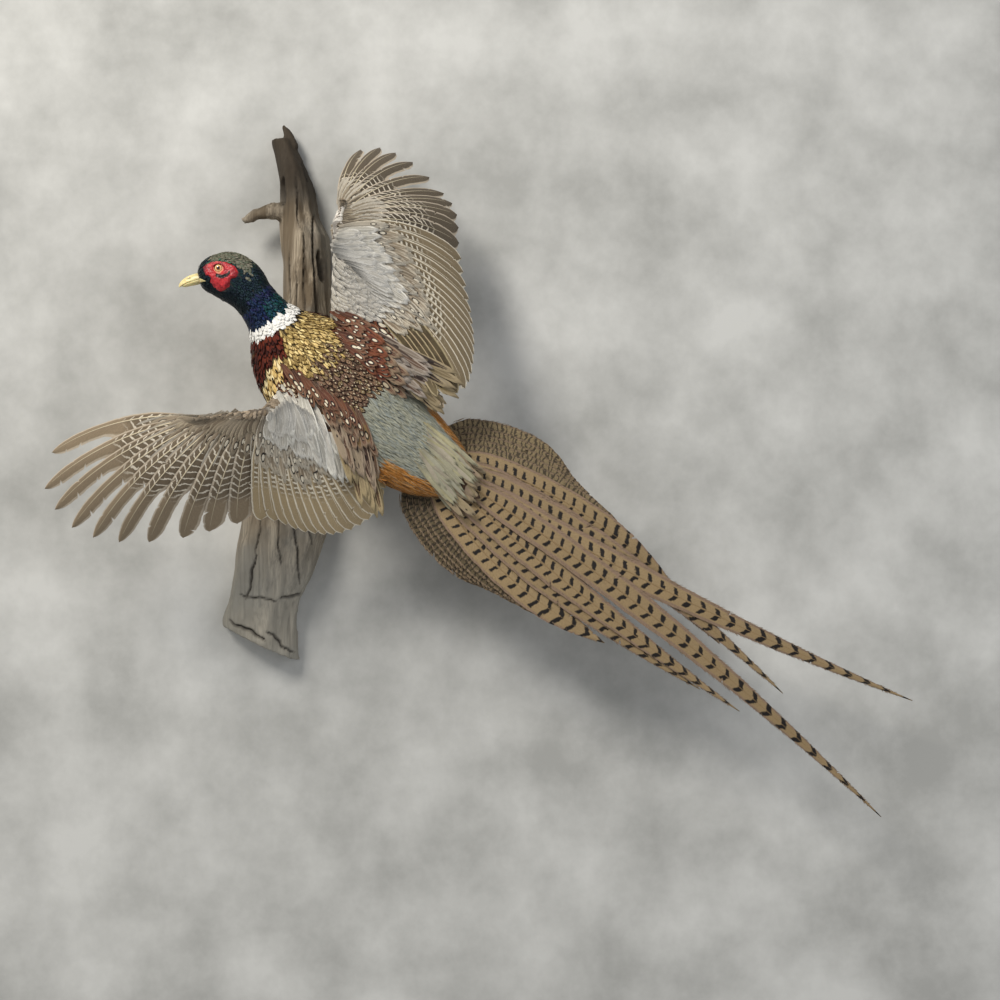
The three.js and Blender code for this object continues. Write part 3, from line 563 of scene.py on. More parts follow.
# Where each kind of feather grows. Lengths in millimetres. share and turn are places on the body, as onBody
# gives them; x and z are in millimetres; wing is 1 or -1 on the left or right wing and 0 on the body. The
# last zone that fits wins. Feathers are vanes of the body coat without gloss where a zone says nothing else.
# rim, spot and ring are the widths of the fringe, the heart and the dark ring round the heart, in half widths
# of the vane.
# under is the share of the feathers' colour that the skin below them keeps; the darkening is partly the down's
# own tone and partly painted shade in the gaps.
zones = {
    "belly": {"where": lambda c: c.share > 0.44,
     "spacing": 6.2, "length": 22, "half": 5.4, "lift": 2.8, "stray": 7,
     "ground": ("#2c231d", "#3a2c20", "#241c18"), "fringe": "#5b3d22", "rim": 0.16},
    "flank": {"where": lambda c: (c.share > 0.56) & (c.share < 0.86) & (c.side > 66) & (c.side < 128),
     "spacing": 5.6, "length": 20, "half": 5, "lift": 2.8, "stray": 7,
     "ground": ("#b08240", "#9a6a2c", "#bd9250"),
     "fringe": "#6d3f1c", "rim": 0.1, "spot": 0.62, "heart": "#17100c", "heartAt": 0.9},
    "breast": {"where": lambda c: (c.share > 0.475) & (c.side > 46) & (c.share < 0.6 + (c.side > 120) * 0.08),
     "spacing": 2.5, "length": 11, "half": 1.9, "lift": 3.0, "stray": 6,
     "ground": ("#521708", "#64240e", "#3c0f06", "#5a1d0c"), "fringe": "#2a0c06", "rim": 0.14},
    "mantle": {"where": lambda c: (c.share > 0.465) & (c.turn < 50) & (c.turn > -62) & (c.share < 0.637),
     "spacing": 2.25, "length": 10.5, "half": 1.35, "lift": 1.8, "stray": 11,
     "ground": ("#e0c484", "#c8ae6e", "#eed898", "#ad945a", "#97804e"), "fringe": "#6b5228", "rim": 0.18,
     "under": 0.7},
    "nape": {"where": lambda c: (c.share > 0.476) & (c.turn < 44) & (c.turn > -62)
         & (c.share < 0.492 + 0.01 * c.ragged),
     "spacing": 2.3, "length": 8, "half": 1.4, "lift": 1.7, "stray": 12,
     "ground": ("#2a2118", "#c2a874", "#4a3a22", "#15110d"), "fringe": "#241b12", "rim": 0.14},
    "goldSide": {"where": lambda c: (c.z > -15) & (c.z < 38) & (c.side > 35) & (c.side < 118)
         & (c.x > np.interp(c.z, (-15, 4, 20, 38), (-10, -17, -8, 2)))
         & (c.x < np.interp(c.z, (-15, 4, 38), (2, 8, 11))),
     "spacing": 3.6, "length": 13, "half": 2.9, "lift": 1.9, "stray": 9,
     "ground": ("#ecd294", "#dfbf7a", "#f4e2b0"), "fringe": "#9a7a46", "rim": 0.12, "spot": 0.5,
     "heart": "#150f0b", "heartAt": 0.86, "uneven": 0.95},
    "backSpots": {"where": lambda c: (c.share > 0.608 + 0.03 * c.ragged) & (c.turn < 40) & (c.turn > -36)
         & (c.share < 0.735 + 0.008 * c.ragged),
     "spacing": 3.0, "length": 10, "half": 2.1, "lift": 1.7, "stray": 8,
     "ground": ("#7c6250", "#6b5140", "#8a6e56", "#8f7a55"), "fringe": "#36231a", "rim": 0.18,
     "spot": 0.3, "ring": 0.2, "heart": "#d3c1a0", "heartAt": 0.72, "heartStray": 0.12, "uneven": 0.85},
    "scapular": {"where": lambda c: (c.share > 0.575) & (c.share < 0.8) & (
         (c.turn > 34) & (c.turn < 74) & (c.z > np.interp(c.x, *leftScapularEdge))
         | (c.turn < -22) & (c.turn > -80) & (c.z < np.interp(c.x, *rightScapularEdge))),
     "spacing": 4.0, "length": 12, "half": 3.1, "lift": 2.2, "stray": 7,
     "ground": ("#5c3221", "#4a2618", "#6b4029"), "fringe": "#7d5a44", "rim": 0.12, "spot": 0.38, "ring": 0.24,
     "heart": "#dccdb0", "heartAt": 0.7},
    "rump": {"piece": "rump", "kind": "tuft",
     "where": lambda c: (c.share > 0.725) & (c.turn < 78) & (c.turn > -82),
     "spacing": 1.45, "length": 12, "half": 0.62, "lift": 1.6, "stray": 7,
     "ground": ("#a0a193", "#979a8c", "#a6a694", "#949a94", "#a5a48f")},
    "rumpSides": {"piece": "rump", "kind": "tuft",
     "where": lambda c: (c.share > 0.8) & ((c.turn > 42) & (c.turn < 110)
         | (c.turn < -52) & (c.turn > -125) & (c.share < 0.9 + 0.02 * c.ragged)),
     "spacing": 1.7, "length": 15, "half": 0.55, "lift": 2.2, "stray": 9,
     "ground": ("#c88c48", "#d49c58", "#b47838", "#bd9c74", "#c8863f")},
    "undertail": {"where": lambda c: (c.share > 0.84) & (c.side > 122),
     "spacing": 5.4, "length": 26, "half": 4.5, "lift": 3, "stray": 8,
     "ground": ("#4b3626", "#3a281c", "#5a4630"), "fringe": "#2a1d14", "rim": 0.15},
    "uppertail": {"piece": "rump",
     "where": lambda c: (c.share > 0.94 - 0.04 * (c.turn < -56) + 0.02 * c.ragged) & (c.turn < 86)
         & (c.turn > -122),
     "spacing": 3.8, "length": 24, "half": 3.2, "lift": 2.0, "stray": 9,
     "ground": ("#948a70", "#8a8068", "#a0957a", "#8b8673", "#9c927c"), "fringe": "#a89c80", "rim": 0.1},
    "neck": {**neckVane, "where": lambda c: c.share <= 0.445,
     "ground": ("#101b3c", "#15234a", "#0d2034", "#1f1a44"), "fringe": "#0b1220", "rim": 0.2},
    "neckTeal": {**neckVane,
     "where": lambda c: (c.share > 0.37) & (c.share < 0.45) & (c.turn < 62) & (c.turn > -120),
     "ground": ("#10403f", "#14504a", "#163a4c", "#0e3233"), "fringe": "#08191b", "rim": 0.2},
    "throat": {"piece": "head", "gloss": 0.8, "where": lambda c: (c.share < 0.36) & (c.side > 96),
     "spacing": 1.7, "length": 5.5, "half": 1.3, "lift": 0.8, "stray": 8,
     "ground": ("#0b1416", "#0a1012", "#0e1c18"), "fringe": "#060a0b", "rim": 0.2},
    "cheek": {**headVane, "half": 1.2, "stray": 8, "gloss": 0.85,
     "where": lambda c: (c.share < 0.335) & (c.side <= 100),
     "ground": ("#0c1c17", "#0b181c", "#10261d", "#0c1320"), "fringe": "#080f0e", "rim": 0.2},
    "crown": {**headVane, "gloss": 0.2, "vary": 0.06,
     "where": lambda c: (c.share > 0.1) & (c.share < 0.33) & (c.side < 60 - 8 * c.ragged)
         & (c.x < -21 + 3 * c.ragged) & (c.x > -65 + 2 * c.ragged),
     "ground": ("#706b5a", "#67634f", "#7c7564", "#5f6450"), "fringe": "#54543f", "rim": 0.12},
    "brow": {**headVane, "gloss": 0.4,
     "where": lambda c: inLobes(c.x, c.z + 2.2, 2.2) & (c.side < 80) & (c.z > 120) & (c.x < -30),
     "ground": ("#2e5c41", "#4d7455", "#1f3d33", "#5c7a62"), "fringe": "#1c2b24", "rim": 0.14},
    "collar": {"where": lambda c: (c.share > 0.437 + 0.008 * c.ragged) & (c.share < 0.474 + 0.01 * c.ragged),
     "spacing": 1.5, "length": 8, "half": 1.7, "lift": 2.4, "stray": 10,
     "ground": ("#f0eee8", "#f7f5f0", "#e8e6de"), "fringe": "#f6f4ee", "rim": 0.2, "under": 0.95},
    "wingTop": {"piece": "arms", "gloss": 0.3, "where": lambda c: c.wing != 0,
     "spacing": 3.0, "length": 12, "half": 2.3, "lift": 1.3, "stray": 8,
     "ground": ("#d6cfc0", "#cac3b5", "#e0d9cc", "#cfc9bd"), "fringe": "#ebe6da", "rim": 0.16},
    "handTop": {"piece": "arms", "where": lambda c: (c.wing != 0) & (c.feather < 11),
     "spacing": 2.1, "length": 6, "half": 1.5, "lift": 0.4, "stray": 8,
     "ground": ("#8d7d6a", "#a3927d", "#786854"), "fringe": "#9a8c78", "rim": 0.12},
    "wingUnder": {"piece": "arms", "where": lambda c: (c.wing != 0) & (c.above < -0.5),
     "spacing": 3.0, "length": 9, "half": 2.1, "lift": 0.5, "stray": 8,
     "ground": ("#a3957f", "#b0a28c", "#93866f"), "fringe": "#c6baa6", "rim": 0.12},
    "wingLeading": {"piece": "arms",
     "where": lambda c: (c.wing < 0) & (c.feather < 19) & (c.feather > 3)
         & (c.onShare < 0.06 + 0.03 * c.ragged),
     "spacing": 2.4, "length": 8, "half": 1.8, "lift": 0.7, "stray": 10,
     "ground": ("#d5cec3", "#c4bab0", "#e0dad0"), "fringe": "#e8e3da", "rim": 0.14},
    "wingSpots": {"piece": "arms",
     "where": lambda c: (c.above > -0.5) & ((c.wing > 0) & (c.z > np.interp(c.x, *leftScapularEdge))
         | (c.wing < 0) & (c.z < np.interp(c.x, *rightScapularEdge))),
     "spacing": 5.4, "length": 16, "half": 4.6, "lift": 2.6, "stray": 7,
     "ground": ("#5c2f1e", "#6f3c22", "#4b2416"), "fringe": "#8a6a52", "rim": 0.1, "spot": 0.46, "ring": 0.3,
     "heart": "#e6dcc4", "heartAt": 0.7},
}


def coatPlaces(points, normals, draws):
    c = SimpleNamespace()
    c.share, c.turn, c.reach = onBody(points)
    c.side = np.abs(c.turn)
    c.x, c.z = points[:, 0] / mm, points[:, 2] / mm
    c.wing, c.feather, c.onShare = onWing(points)
    c.wing = np.where((c.reach > 1.6) | (c.reach > 1.08) & (c.share > 0.4), c.wing, 0)
    facing = np.zeros(len(points))
    for name, sign in signs.items():
        pick = c.wing == sign
        facing[pick] = (surfaces[name].out(c.feather[pick]) * normals[pick]).sum(-1)
    c.above = np.where(c.wing != 0, facing, 1)
    c.ragged = draws.uniform(-1, 1, len(points))
    return c


def zoneOf(c):
    zone = np.zeros(len(c.share), int)
    for number, look in enumerate(zones.values()):
        zone[look["where"](c)] = number
    return zone


# Keeps points that are at least their own spacing apart.
def spread(points, spacing):
    cell = float(spacing.max())
    cells, kept = {}, []
    keys = np.floor(points / cell).astype(int).tolist()
    around = [(i, j, k) for i in (-1, 0, 1) for j in (-1, 0, 1) for k in (-1, 0, 1)]
    for number, (p, (i, j, k), apart) in enumerate(zip(points.tolist(), keys, (spacing**2).tolist())):
        near = (q for a, b, c in around for q in cells.get((i + a, j + b, k + c), ()))
        if not any((p[0] - q[0]) ** 2 + (p[1] - q[1]) ** 2 + (p[2] - q[2]) ** 2 < apart for q in near):
            cells.setdefault((i, j, k), []).append(p)
            kept.append(number)
    return np.array(kept)


def seedCoat(draws):
    corners = skinPoints[skinTriangles]
    areas = np.linalg.norm(np.cross(corners[:, 1] - corners[:, 0], corners[:, 2] - corners[:, 0]), axis=1)
    centres = corners.mean(1)
    spacing = np.array([look["spacing"] for look in zones.values()]) * mm
    normals = skinNormals[skinTriangles].mean(1)
    zone = zoneOf(coatPlaces(centres, normals, draws))
    chance = areas / spacing[zone] ** 2
    count = int(chance.sum() * 0.5 * 4.5)  # about 4.5 tries for each feather that is kept
    pick = draws.choice(len(areas), count, p=chance / chance.sum())
    a, b = np.sqrt(draws.random(count)), draws.random(count)
    weights = np.stack([1 - a, a * (1 - b), a * b], 1)
    points = (corners[pick] * weights[..., None]).sum(1)
    normals = unit((skinNormals[skinTriangles[pick]] * weights[..., None]).sum(1))
    places = coatPlaces(points, normals, draws)
    zone = zoneOf(places)
    bare = inLobes(places.x, places.z, -1) & (places.share < 0.34) | (places.share < 0.012)
    usable = np.flatnonzero(~bare)
    kept = usable[spread(points[usable], spacing[zone[usable]])]
    for name, values in vars(places).items():
        setattr(places, name, values[kept])
    return points[kept], normals[kept], places, zone[kept]


coatDraws = np.random.default_rng(11)
seeds, seedNormals, seedPlaces, seedZone = seedCoat(coatDraws)
print("coat roots", len(seeds), dict(zip(zones, np.bincount(seedZone, minlength=len(zones)).tolist())))


# What the colour of a vane reads: across from -1 to 1, along from 0 to 1, and metres from the root.
def vaneInputs(tree):
    vane = addNode(tree, "Attribute", output=1, attribute_name="vane")
    across, share, reach = addNode(tree, "SeparateXYZ", {0: vane}).node.outputs
    aside = addNode(tree, "Math", {0: across}, operation="ABSOLUTE")
    return across, aside, share, reach


# Barbs run out from the shaft and towards the tip, one every `apart` metres. Real ones are about 0.3 mm
# apart, too fine to show, so they are drawn coarser.
def barbLines(tree, reach, aside, half, apart):
    out = addNode(tree, "Math", {0: aside, 1: half}, **times)
    along = addNode(tree, "Math", {0: out, 1: -1.25, 2: reach}, **timesPlus)
    turns = addNode(tree, "Math", {0: along, 1: 2 * math.pi / apart}, **times)
    wave = addNode(tree, "Math", {0: turns}, operation="SINE")
    place = addNode(tree, "CombineXYZ", {0: along, 1: out})
    clumps = addNode(tree, "TexNoise", {"Vector": place, "Scale": 420, "Detail": 2, "Roughness": 0.6})
    return wave, clumps


# Tones the colour down the barbs and gives them their relief.
def finishVane(tree, shader, coloured, tone, wave, clumps, strength):
    grey = addNode(tree, "CombineColor", {0: tone, 1: tone, 2: tone})
    toned = addNode(tree, "Mix", {0: 1, 6: coloured, 7: grey}, blend_type="MULTIPLY", **mixed)
    height = addNode(tree, "Math", {0: wave, 1: 0.5, 2: clumps}, **timesPlus)
    paint(tree, shader, toned, (), height, 0.25, strength)


# Contour feathers: ground, a fringe round the tip, and a heart with a dark ring round it. The alpha of
# ground is the gloss, of fringe the length over the half width, and of heart its place along the vane.
def contourMaterial(name, finish, glossy=0.3):
    material, tree, shader = newMaterial(name, finish)
    across, aside, share, reach = vaneInputs(tree)
    colours = [addNode(tree, "Attribute", attribute_name=n) for n in ("ground", "fringe", "heart")]
    ground, fringe, heart = colours
    gloss, slim, heartAt = (c.node.outputs[3] for c in colours)
    marks = addNode(tree, "Attribute", output=1, attribute_name="marks")
    fringeWidth, heartSize, ringWidth = addNode(tree, "SeparateXYZ", {0: marks}).node.outputs
    early = addNode(tree, "Math", {0: share, 1: 0.08}, operation="MAXIMUM")
    length = addNode(tree, "Math", {0: reach, 1: early}, operation="DIVIDE")
    half = addNode(tree, "Math", {0: length, 1: slim}, operation="DIVIDE")
    wave, clumps = barbLines(tree, reach, aside, half, 0.5 * mm)
    ragged = addNode(tree, "Math", {0: clumps, 1: 0.5}, **minus)

    tipward = addNode(tree, "MapRange", {0: share, 1: 0.4, 2: 1})
    flat = addNode(tree, "CombineXYZ", {0: aside, 1: tipward})
    rim = addNode(tree, "VectorMath", {0: flat}, output=1, operation="LENGTH")
    rim = addNode(tree, "Math", {0: ragged, 1: 0.25, 2: rim}, **timesPlus)
    inner = addNode(tree, "Math", {0: fringeWidth, 1: -1.5, 2: 1}, **timesPlus)
    outer = addNode(tree, "Math", {0: fringeWidth, 1: -0.6, 2: 1}, **timesPlus)
    rim = addNode(tree, "MapRange", {0: rim, 1: inner, 2: outer}, **eased)
    coloured = addNode(tree, "Mix", {0: rim, 6: ground, 7: fringe}, **mixed)

    shaft = addNode(tree, "MapRange", {0: aside, 1: 0.16, 2: 0.04, 4: 0.6})
    coloured = addNode(tree, "Mix", {0: shaft, 6: coloured, 7: fringe}, **mixed)
    along = addNode(tree, "Math", {0: share, 1: heartAt}, **minus)
    along = addNode(tree, "Math", {0: along, 1: slim}, **times)
    along = addNode(tree, "Math", {0: along, 1: 0.5}, **times)
    out = addNode(tree, "Math", {0: across, 1: 1.25}, **times)
    spot = addNode(tree, "CombineXYZ", {0: out, 1: along})
    spot = addNode(tree, "VectorMath", {0: spot}, output=1, operation="LENGTH")
    spot = addNode(tree, "Math", {0: ragged, 1: 0.3, 2: spot}, **timesPlus)
    ringSize = addNode(tree, "Math", {0: heartSize, 1: ringWidth})
    for size, shown, inked in ((ringSize, ringWidth, colour("#120d0a")), (heartSize, heartSize, heart)):
        outside = addNode(tree, "Math", {0: spot, 1: size}, **minus)
        here = addNode(tree, "Math", {0: shown, 1: 0.01}, operation="GREATER_THAN")
        inside = addNode(tree, "MapRange", {0: outside, 1: 0.07, 2: -0.07}, **eased)
        inside = addNode(tree, "Math", {0: inside, 1: here}, **times)
        coloured = addNode(tree, "Mix", {0: inside, 6: coloured, 7: inked}, **mixed)

    shade = addNode(tree, "Math", {0: wave, 1: 0.06, 2: 0.8}, **timesPlus)
    shade = addNode(tree, "Math", {0: clumps, 1: 0.4, 2: shade}, **timesPlus)
    down = addNode(tree, "MapRange", {0: share, 1: 0, 2: 0.4, 3: 0.6, 4: 1})
    shade = addNode(tree, "Math", {0: shade, 1: down}, **times)
    finishVane(tree, shader, coloured, shade, wave, clumps, 0.4)
    rough = addNode(tree, "MapRange", {0: gloss, 3: finish["Roughness"], 4: glossy})
    tree.links.new(rough, shader.inputs["Roughness"])
    return material


stiffMarks = ("ground", "bar", "edge", "bars", "limits", "span")  # three colours and three vectors


# Flight and tail feathers: bars across the vane, a pale edge, and fine mottling. The alpha of ground is the
# mottling, of bar how strong the bars are, and of edge how wide the edge is.
def flightMaterial(name, finish, between):
    material, tree, shader = newMaterial(name, finish)
    across, aside, share, reach = vaneInputs(tree)
    ground, bar, edge, bars, limits, span = (
        addNode(tree, "Attribute", output=n // 3, attribute_name=mark) for n, mark in enumerate(stiffMarks))
    spacing, width, slant = addNode(tree, "SeparateXYZ", {0: bars}).node.outputs
    inner, outer, wavy = addNode(tree, "SeparateXYZ", {0: limits}).node.outputs
    first, last, half = addNode(tree, "SeparateXYZ", {0: span}).node.outputs
    wave, clumps = barbLines(tree, reach, aside, half, 0.6 * mm)
    ragged = addNode(tree, "Math", {0: clumps, 1: 0.5}, **minus)
    wide = addNode(tree, "Math", {0: across, 1: 2.2}, **times)
    long = addNode(tree, "Math", {0: reach, 1: 260}, **times)
    place = addNode(tree, "CombineXYZ", {0: wide, 1: long})
    swirl = addNode(tree, "TexNoise", {"Vector": place, "Scale": 0.7, "Detail": 1.5})
    swirl = addNode(tree, "Math", {0: swirl, 1: 0.5}, **minus)

    along = addNode(tree, "Math", {0: aside, 1: slant, 2: reach}, **timesPlus)
    along = addNode(tree, "Math", {0: swirl, 1: wavy, 2: along}, **timesPlus)
    along = addNode(tree, "Math", {0: ragged, 1: 2.5 * mm, 2: along}, **timesPlus)
    turns = addNode(tree, "Math", {0: along, 1: spacing}, operation="DIVIDE")
    part = addNode(tree, "Math", {0: turns, 1: 1.0}, operation="FLOORED_MODULO")
    centred = addNode(tree, "Math", {0: part, 1: 0.5}, **minus)
    off = addNode(tree, "Math", {0: centred}, operation="ABSOLUTE")
    off = addNode(tree, "Math", {0: off, 1: 2}, **times)
    apart = addNode(tree, "Math", {0: width, 1: off}, **minus)
    inside = 1  # between the lines beside the shaft and the edge, and at the two ends
    ends = ((aside, inner, 0.05), (share, first, 0.05), (outer, aside, 0.06), (last, share, 0.06))
    for over, under, soft in ends:
        past = addNode(tree, "Math", {0: over, 1: under}, **minus)
        past = addNode(tree, "MapRange", {0: past, 1: -soft, 2: soft}, **eased)
        inside = addNode(tree, "Math", {0: inside, 1: past}, **times)
    barred = addNode(tree, "MapRange", {0: apart, 1: -0.09, 2: 0.09}, **eased)
    for factor in (inside, bar.node.outputs[3]):
        barred = addNode(tree, "Math", {0: barred, 1: factor}, **times)
    between = addNode(tree, "Math", {0: inside, 1: between}, **times)

    mottle = addNode(tree, "TexNoise", {"Vector": place, "Scale": 3.2, "Detail": 3, "Roughness": 0.7})
    tone = addNode(tree, "Math", {0: mottle, 1: 0.5}, **minus)
    tone = addNode(tree, "Math", {0: tone, 1: ground.node.outputs[3]}, **times)
    tone = addNode(tree, "Math", {0: tone, 1: 1.0})
    tone = addNode(tree, "Math", {0: wave, 1: 0.06, 2: tone}, **timesPlus)
    tone = addNode(tree, "Math", {0: ragged, 1: 0.5, 2: tone}, **timesPlus)
    start = addNode(tree, "Math", {0: edge.node.outputs[3], 1: aside})
    start = addNode(tree, "MapRange", {0: start, 1: 0.93, 2: 1.06}, **eased)
    coloured = ground
    for part, inked in ((between, colour("#2e2318")), (start, edge), (barred, bar)):
        coloured = addNode(tree, "Mix", {0: part, 6: coloured, 7: inked}, **mixed)
    finishVane(tree, shader, coloured, tone, wave, clumps, 0.5)
    return material


# Keratin barbs: dull with a faint sheen on the body, glossier on the head.
bodyFeathers = contourMaterial("body feathers", {"Roughness": 0.62, "Specular IOR Level": 0.2})
headFeathers = contourMaterial("head feathers", {"Roughness": 0.5, "Specular IOR Level": 0.3,
                                                "Specular Tint": colour("#b8d8ff")}, 0.34)
wingCoverts = contourMaterial("wing coverts", {"Roughness": 0.55, "Specular IOR Level": 0.35})
# Stiff keratin vanes: smoother, with bars the eye can count.
flightFeathers = flightMaterial("flight feathers", {"Roughness": 0.5, "Specular IOR Level": 0.3}, 0.45)
tailFeathers = flightMaterial("tail feathers", {"Roughness": 0.52, "Specular IOR Level": 0.3}, 0)


# Walks from each root along the flow of the feathers and gives stations and the skin's normals there. Where
# the skin falls away, as at the end of the body, a feather goes straight on.
def layDown(points, normals, flow, lengths, steps):
    places, ups = [points], [normals]
    way = squareTo(flow, normals)
    pace = (lengths / (steps - 1))[:, None]
    gone = np.zeros((len(points), 1), bool)
    for _ in range(steps - 1):
        target = places[-1] + way * pace
        found = [skinTree.find_nearest(Vector(p)) for p in target]
        spots = np.array([f[0][:] for f in found])
        up = unit(skinNormals[skinTriangles[[f[2] for f in found]]].mean(1))
        gone |= np.linalg.norm(spots - target, axis=1, keepdims=True) > 0.45 * pace
        spots, up = np.where(gone, target, spots), np.where(gone, ups[-1], up)
        way = squareTo(spots - places[-1], up)
        places.append(spots)
        ups.append(up)
    return np.stack(places, 1), np.stack(ups, 1)


def pathLengths(points):
    return np.linalg.norm(np.diff(points, axis=1), axis=2).sum(1)


def vaneWidth(share, kind):
    if kind == "tuft":
        return (0.5 + 0.5 * smooth(share, 0, 0.3)) * (1 - 0.9 * share**1.6)
    tip = np.sqrt(np.maximum(1 - (np.maximum(share - 0.6, 0) / 0.4) ** 2, 0.02))
    return (0.4 + 0.6 * smooth(share, 0, 0.5)) * tip


# Feathers over their stations: N x S points and normals. Heights are over the stations.
def addFeathers(plumage, points, ups, halves, heights, kind, columns, tilt, home, marks):
    share, across = np.linspace(0, 1, points.shape[1]), np.linspace(-1, 1, columns)
    way = unit(np.gradient(points, axis=1))
    side = unit(np.cross(way, ups))
    up = np.cross(side, way)
    width = halves[:, None] * vaneWidth(share, kind)[None]
    out = width[..., None] * across
    cup = -0.22 * width[..., None] * across**2 + np.tan(tilt)[:, None, None] * out * share[None, :, None]
    raised = (heights[..., None] + cup)[..., None]
    top = points[:, :, None] + side[:, :, None] * out[..., None] + up[:, :, None] * raised
    thick = np.minimum(0.18 * mm, 0.16 * halves)[:, None, None, None]
    under = top[:, :, 1:-1] - up[:, :, None] * thick
    rings, rims = shellRings(top, under)
    bake = shellPatch(across, across[1:-1], share, home, (0.003, 0.003))
    lengths = pathLengths(points)
    ring = np.concatenate([across, across[1:-1][::-1]])
    vane = vanePlaces(rings.shape, ring, share[:, None], lengths[:, None, None])
    plumage.add(rings, bake, vane, rims, **marks)


# Colours and marks of each feather in a look, chosen and varied a little.
def lookMarks(look, count, slim, draws):
    grounds = np.array([colour(c) for c in look["ground"]])[draws.integers(0, len(look["ground"]), count)]
    grounds[:, :3] *= np.exp(draws.normal(0, look.get("vary", 0.1), (count, 1)))
    grounds[:, 3] = look.get("gloss", 0)
    fringe = np.tile(colour(look.get("fringe", look["ground"][0])), (count, 1))
    fringe[:, 3] = slim
    heart = np.tile(colour(look.get("heart", "#000000")), (count, 1))
    heart[:, 3] = look.get("heartAt", 0.7) + look.get("heartStray", 0) * draws.uniform(-1, 1, count)
    marks = np.tile([float(look.get(key, 0)) for key in ("rim", "spot", "ring")], (count, 1))
    marks[:, 1] *= draws.uniform(1 - look.get("uneven", 0.2), 1.15, count)
    return {"ground": grounds, "fringe": fringe, "heart": heart, "marks": marks}


def growCoat(plumages, seeds, normals, places, zone, draws):
    flow = bodyFrame(places.share)[1]
    for name, sign in signs.items():
        pick = places.wing == sign
        flow[pick] = surfaces[name].way(places.feather[pick], places.onShare[pick])
    bodyHome = np.stack([0.02 + 0.95 * places.share, 0.02 + 0.45 * (places.turn + 180) / 360], 1)
    armHome = np.stack([0.02 + (places.feather + 2) / 29 * 0.95, 0.5 + 0.2 * (places.onShare + 0.7)
                        + 0.22 * (places.wing < 0)], 1)
    home = np.where(places.wing[:, None] != 0, armHome, bodyHome)
    for number, look in enumerate(zones.values()):
        pick = np.flatnonzero(zone == number)
        if not len(pick):
            continue
        count = len(pick)
        stray = np.radians(draws.normal(0, look["stray"], count))[:, None]
        sideways = np.cross(normals[pick], flow[pick])
        turned = flow[pick] * np.cos(stray) + sideways * np.sin(stray)
        lengths = look["length"] * mm * draws.uniform(0.85, 1.15, count)
        halves = look["half"] * mm * draws.uniform(0.88, 1.12, count)
        kind = look.get("kind", "vane")
        columns, steps = (3, 6) if kind == "tuft" or look["half"] < 2.3 else (5, 7)
        points, ups = layDown(seeds[pick], normals[pick], turned, lengths, steps)
        share = np.linspace(0, 1, steps)
        lift = look["lift"] * mm * draws.uniform(0.7, 1.25, count)[:, None]
        heights = 0.25 * mm + lift * np.sin(share * 1.5) ** 0.9
        tilt = np.radians(draws.normal(0, 7, count))
        marks = lookMarks(look, count, lengths / halves, draws)
        plumage = plumages[look.get("piece", "body")]
        addFeathers(plumage, points, ups, halves, heights, kind, columns, tilt, home[pick], marks)


plumages = {"head": Plumage(), "body": Plumage(), "rump": Plumage(), "arms": Plumage()}
growCoat(plumages, seeds, seedNormals, seedPlaces, seedZone, coatDraws)


# Coverts lie in rows on the wings. feathers are the first, the last and the step between two, shares where
# the row starts and ends on the flight feathers' length, and layer how many millimetres it lies over them, or
# under them if negative.
covertRows = [
    {"feathers": (-0.4, 9.6, 0.5), "shares": (0.0, 0.27), "half": 4.0, "layer": 0.6, "uneven": 0.03,
     "ground": ("#857763", "#8f806c", "#776957"), "fringe": "#9a8d78", "heart": "#e0d5be", "heartAt": 0.72,
     "heartStray": 0.2, "rim": 0.12, "spot": 0.4, "ring": 0.2, "rightWingShade": 0.46},
    {"feathers": (-0.4, 9.6, 0.4), "shares": (-0.03, 0.15), "half": 3.2, "layer": 1.4, "uneven": 0.03,
     "ground": ("#8f816d", "#9a8c78", "#82735f"), "fringe": "#a3967f", "rim": 0.12, "rightWingShade": 0.5},
    {"feathers": (9.6, 25.2, 0.5), "shares": (-0.03, 0.44), "half": 4.4, "layer": 0.9, "uneven": 0.05,
     "ground": ("#8f806b", "#9b8c77", "#84745f"), "fringe": "#cfc3ad", "heart": "#e6dcc6", "heartAt": 0.66,
     "heartStray": 0.26, "rim": 0.14, "spot": 0.42, "ring": 0.22},
    {"feathers": (9.6, 25.2, 0.45), "shares": (-0.08, 0.3), "half": 4.0, "layer": 1.7, "uneven": 0.05,
     "ground": ("#9b907f", "#a69c8b", "#8f8371"), "fringe": "#d3c9b6", "heart": "#e6dcc6", "heartAt": 0.7,
     "heartStray": 0.2, "rim": 0.14, "spot": 0.34, "ring": 0.16},
    {"feathers": (10.5, 25.2, 0.42), "shares": (-0.1, 0.2), "half": 3.8, "layer": 2.6, "uneven": 0.04,
     "ground": ("#cac4b6", "#beb8aa", "#d5cfc2", "#c0b9aa"), "fringe": "#efeade", "rim": 0.14},
    {"feathers": (11, 25.2, 0.36), "shares": (-0.2, 0.08), "half": 3.6, "layer": 3.4, "uneven": 0.04,
     "ground": ("#ccc6b9", "#c1bdb3", "#d7d2c6"), "fringe": "#f0ebe0", "rim": 0.14},
    {"feathers": (-0.2, 25.4, 0.8), "shares": (0.0, 0.46), "half": 7.5, "layer": -1.5,
     "ground": ("#b3a794", "#a39680", "#c0b5a2"), "fringe": "#d2c9b8", "rim": 0.12},
    {"feathers": (-0.2, 25.4, 0.6), "shares": (-0.04, 0.22), "half": 6, "layer": -2.6,
     "ground": ("#b9ad9b", "#a99c87", "#c6bcaa"), "fringe": "#d8cfc0", "rim": 0.12},
]
shingle = 1.2 * mm  # each primary lies this far under the next one in


# How high the flight feathers lie at feather u, over the wing's surface.
def flightLevel(u):
    return 0.9 * mm * smooth(u, primaries - 1, primaries) - shingle * np.maximum(primaries - u, 0)


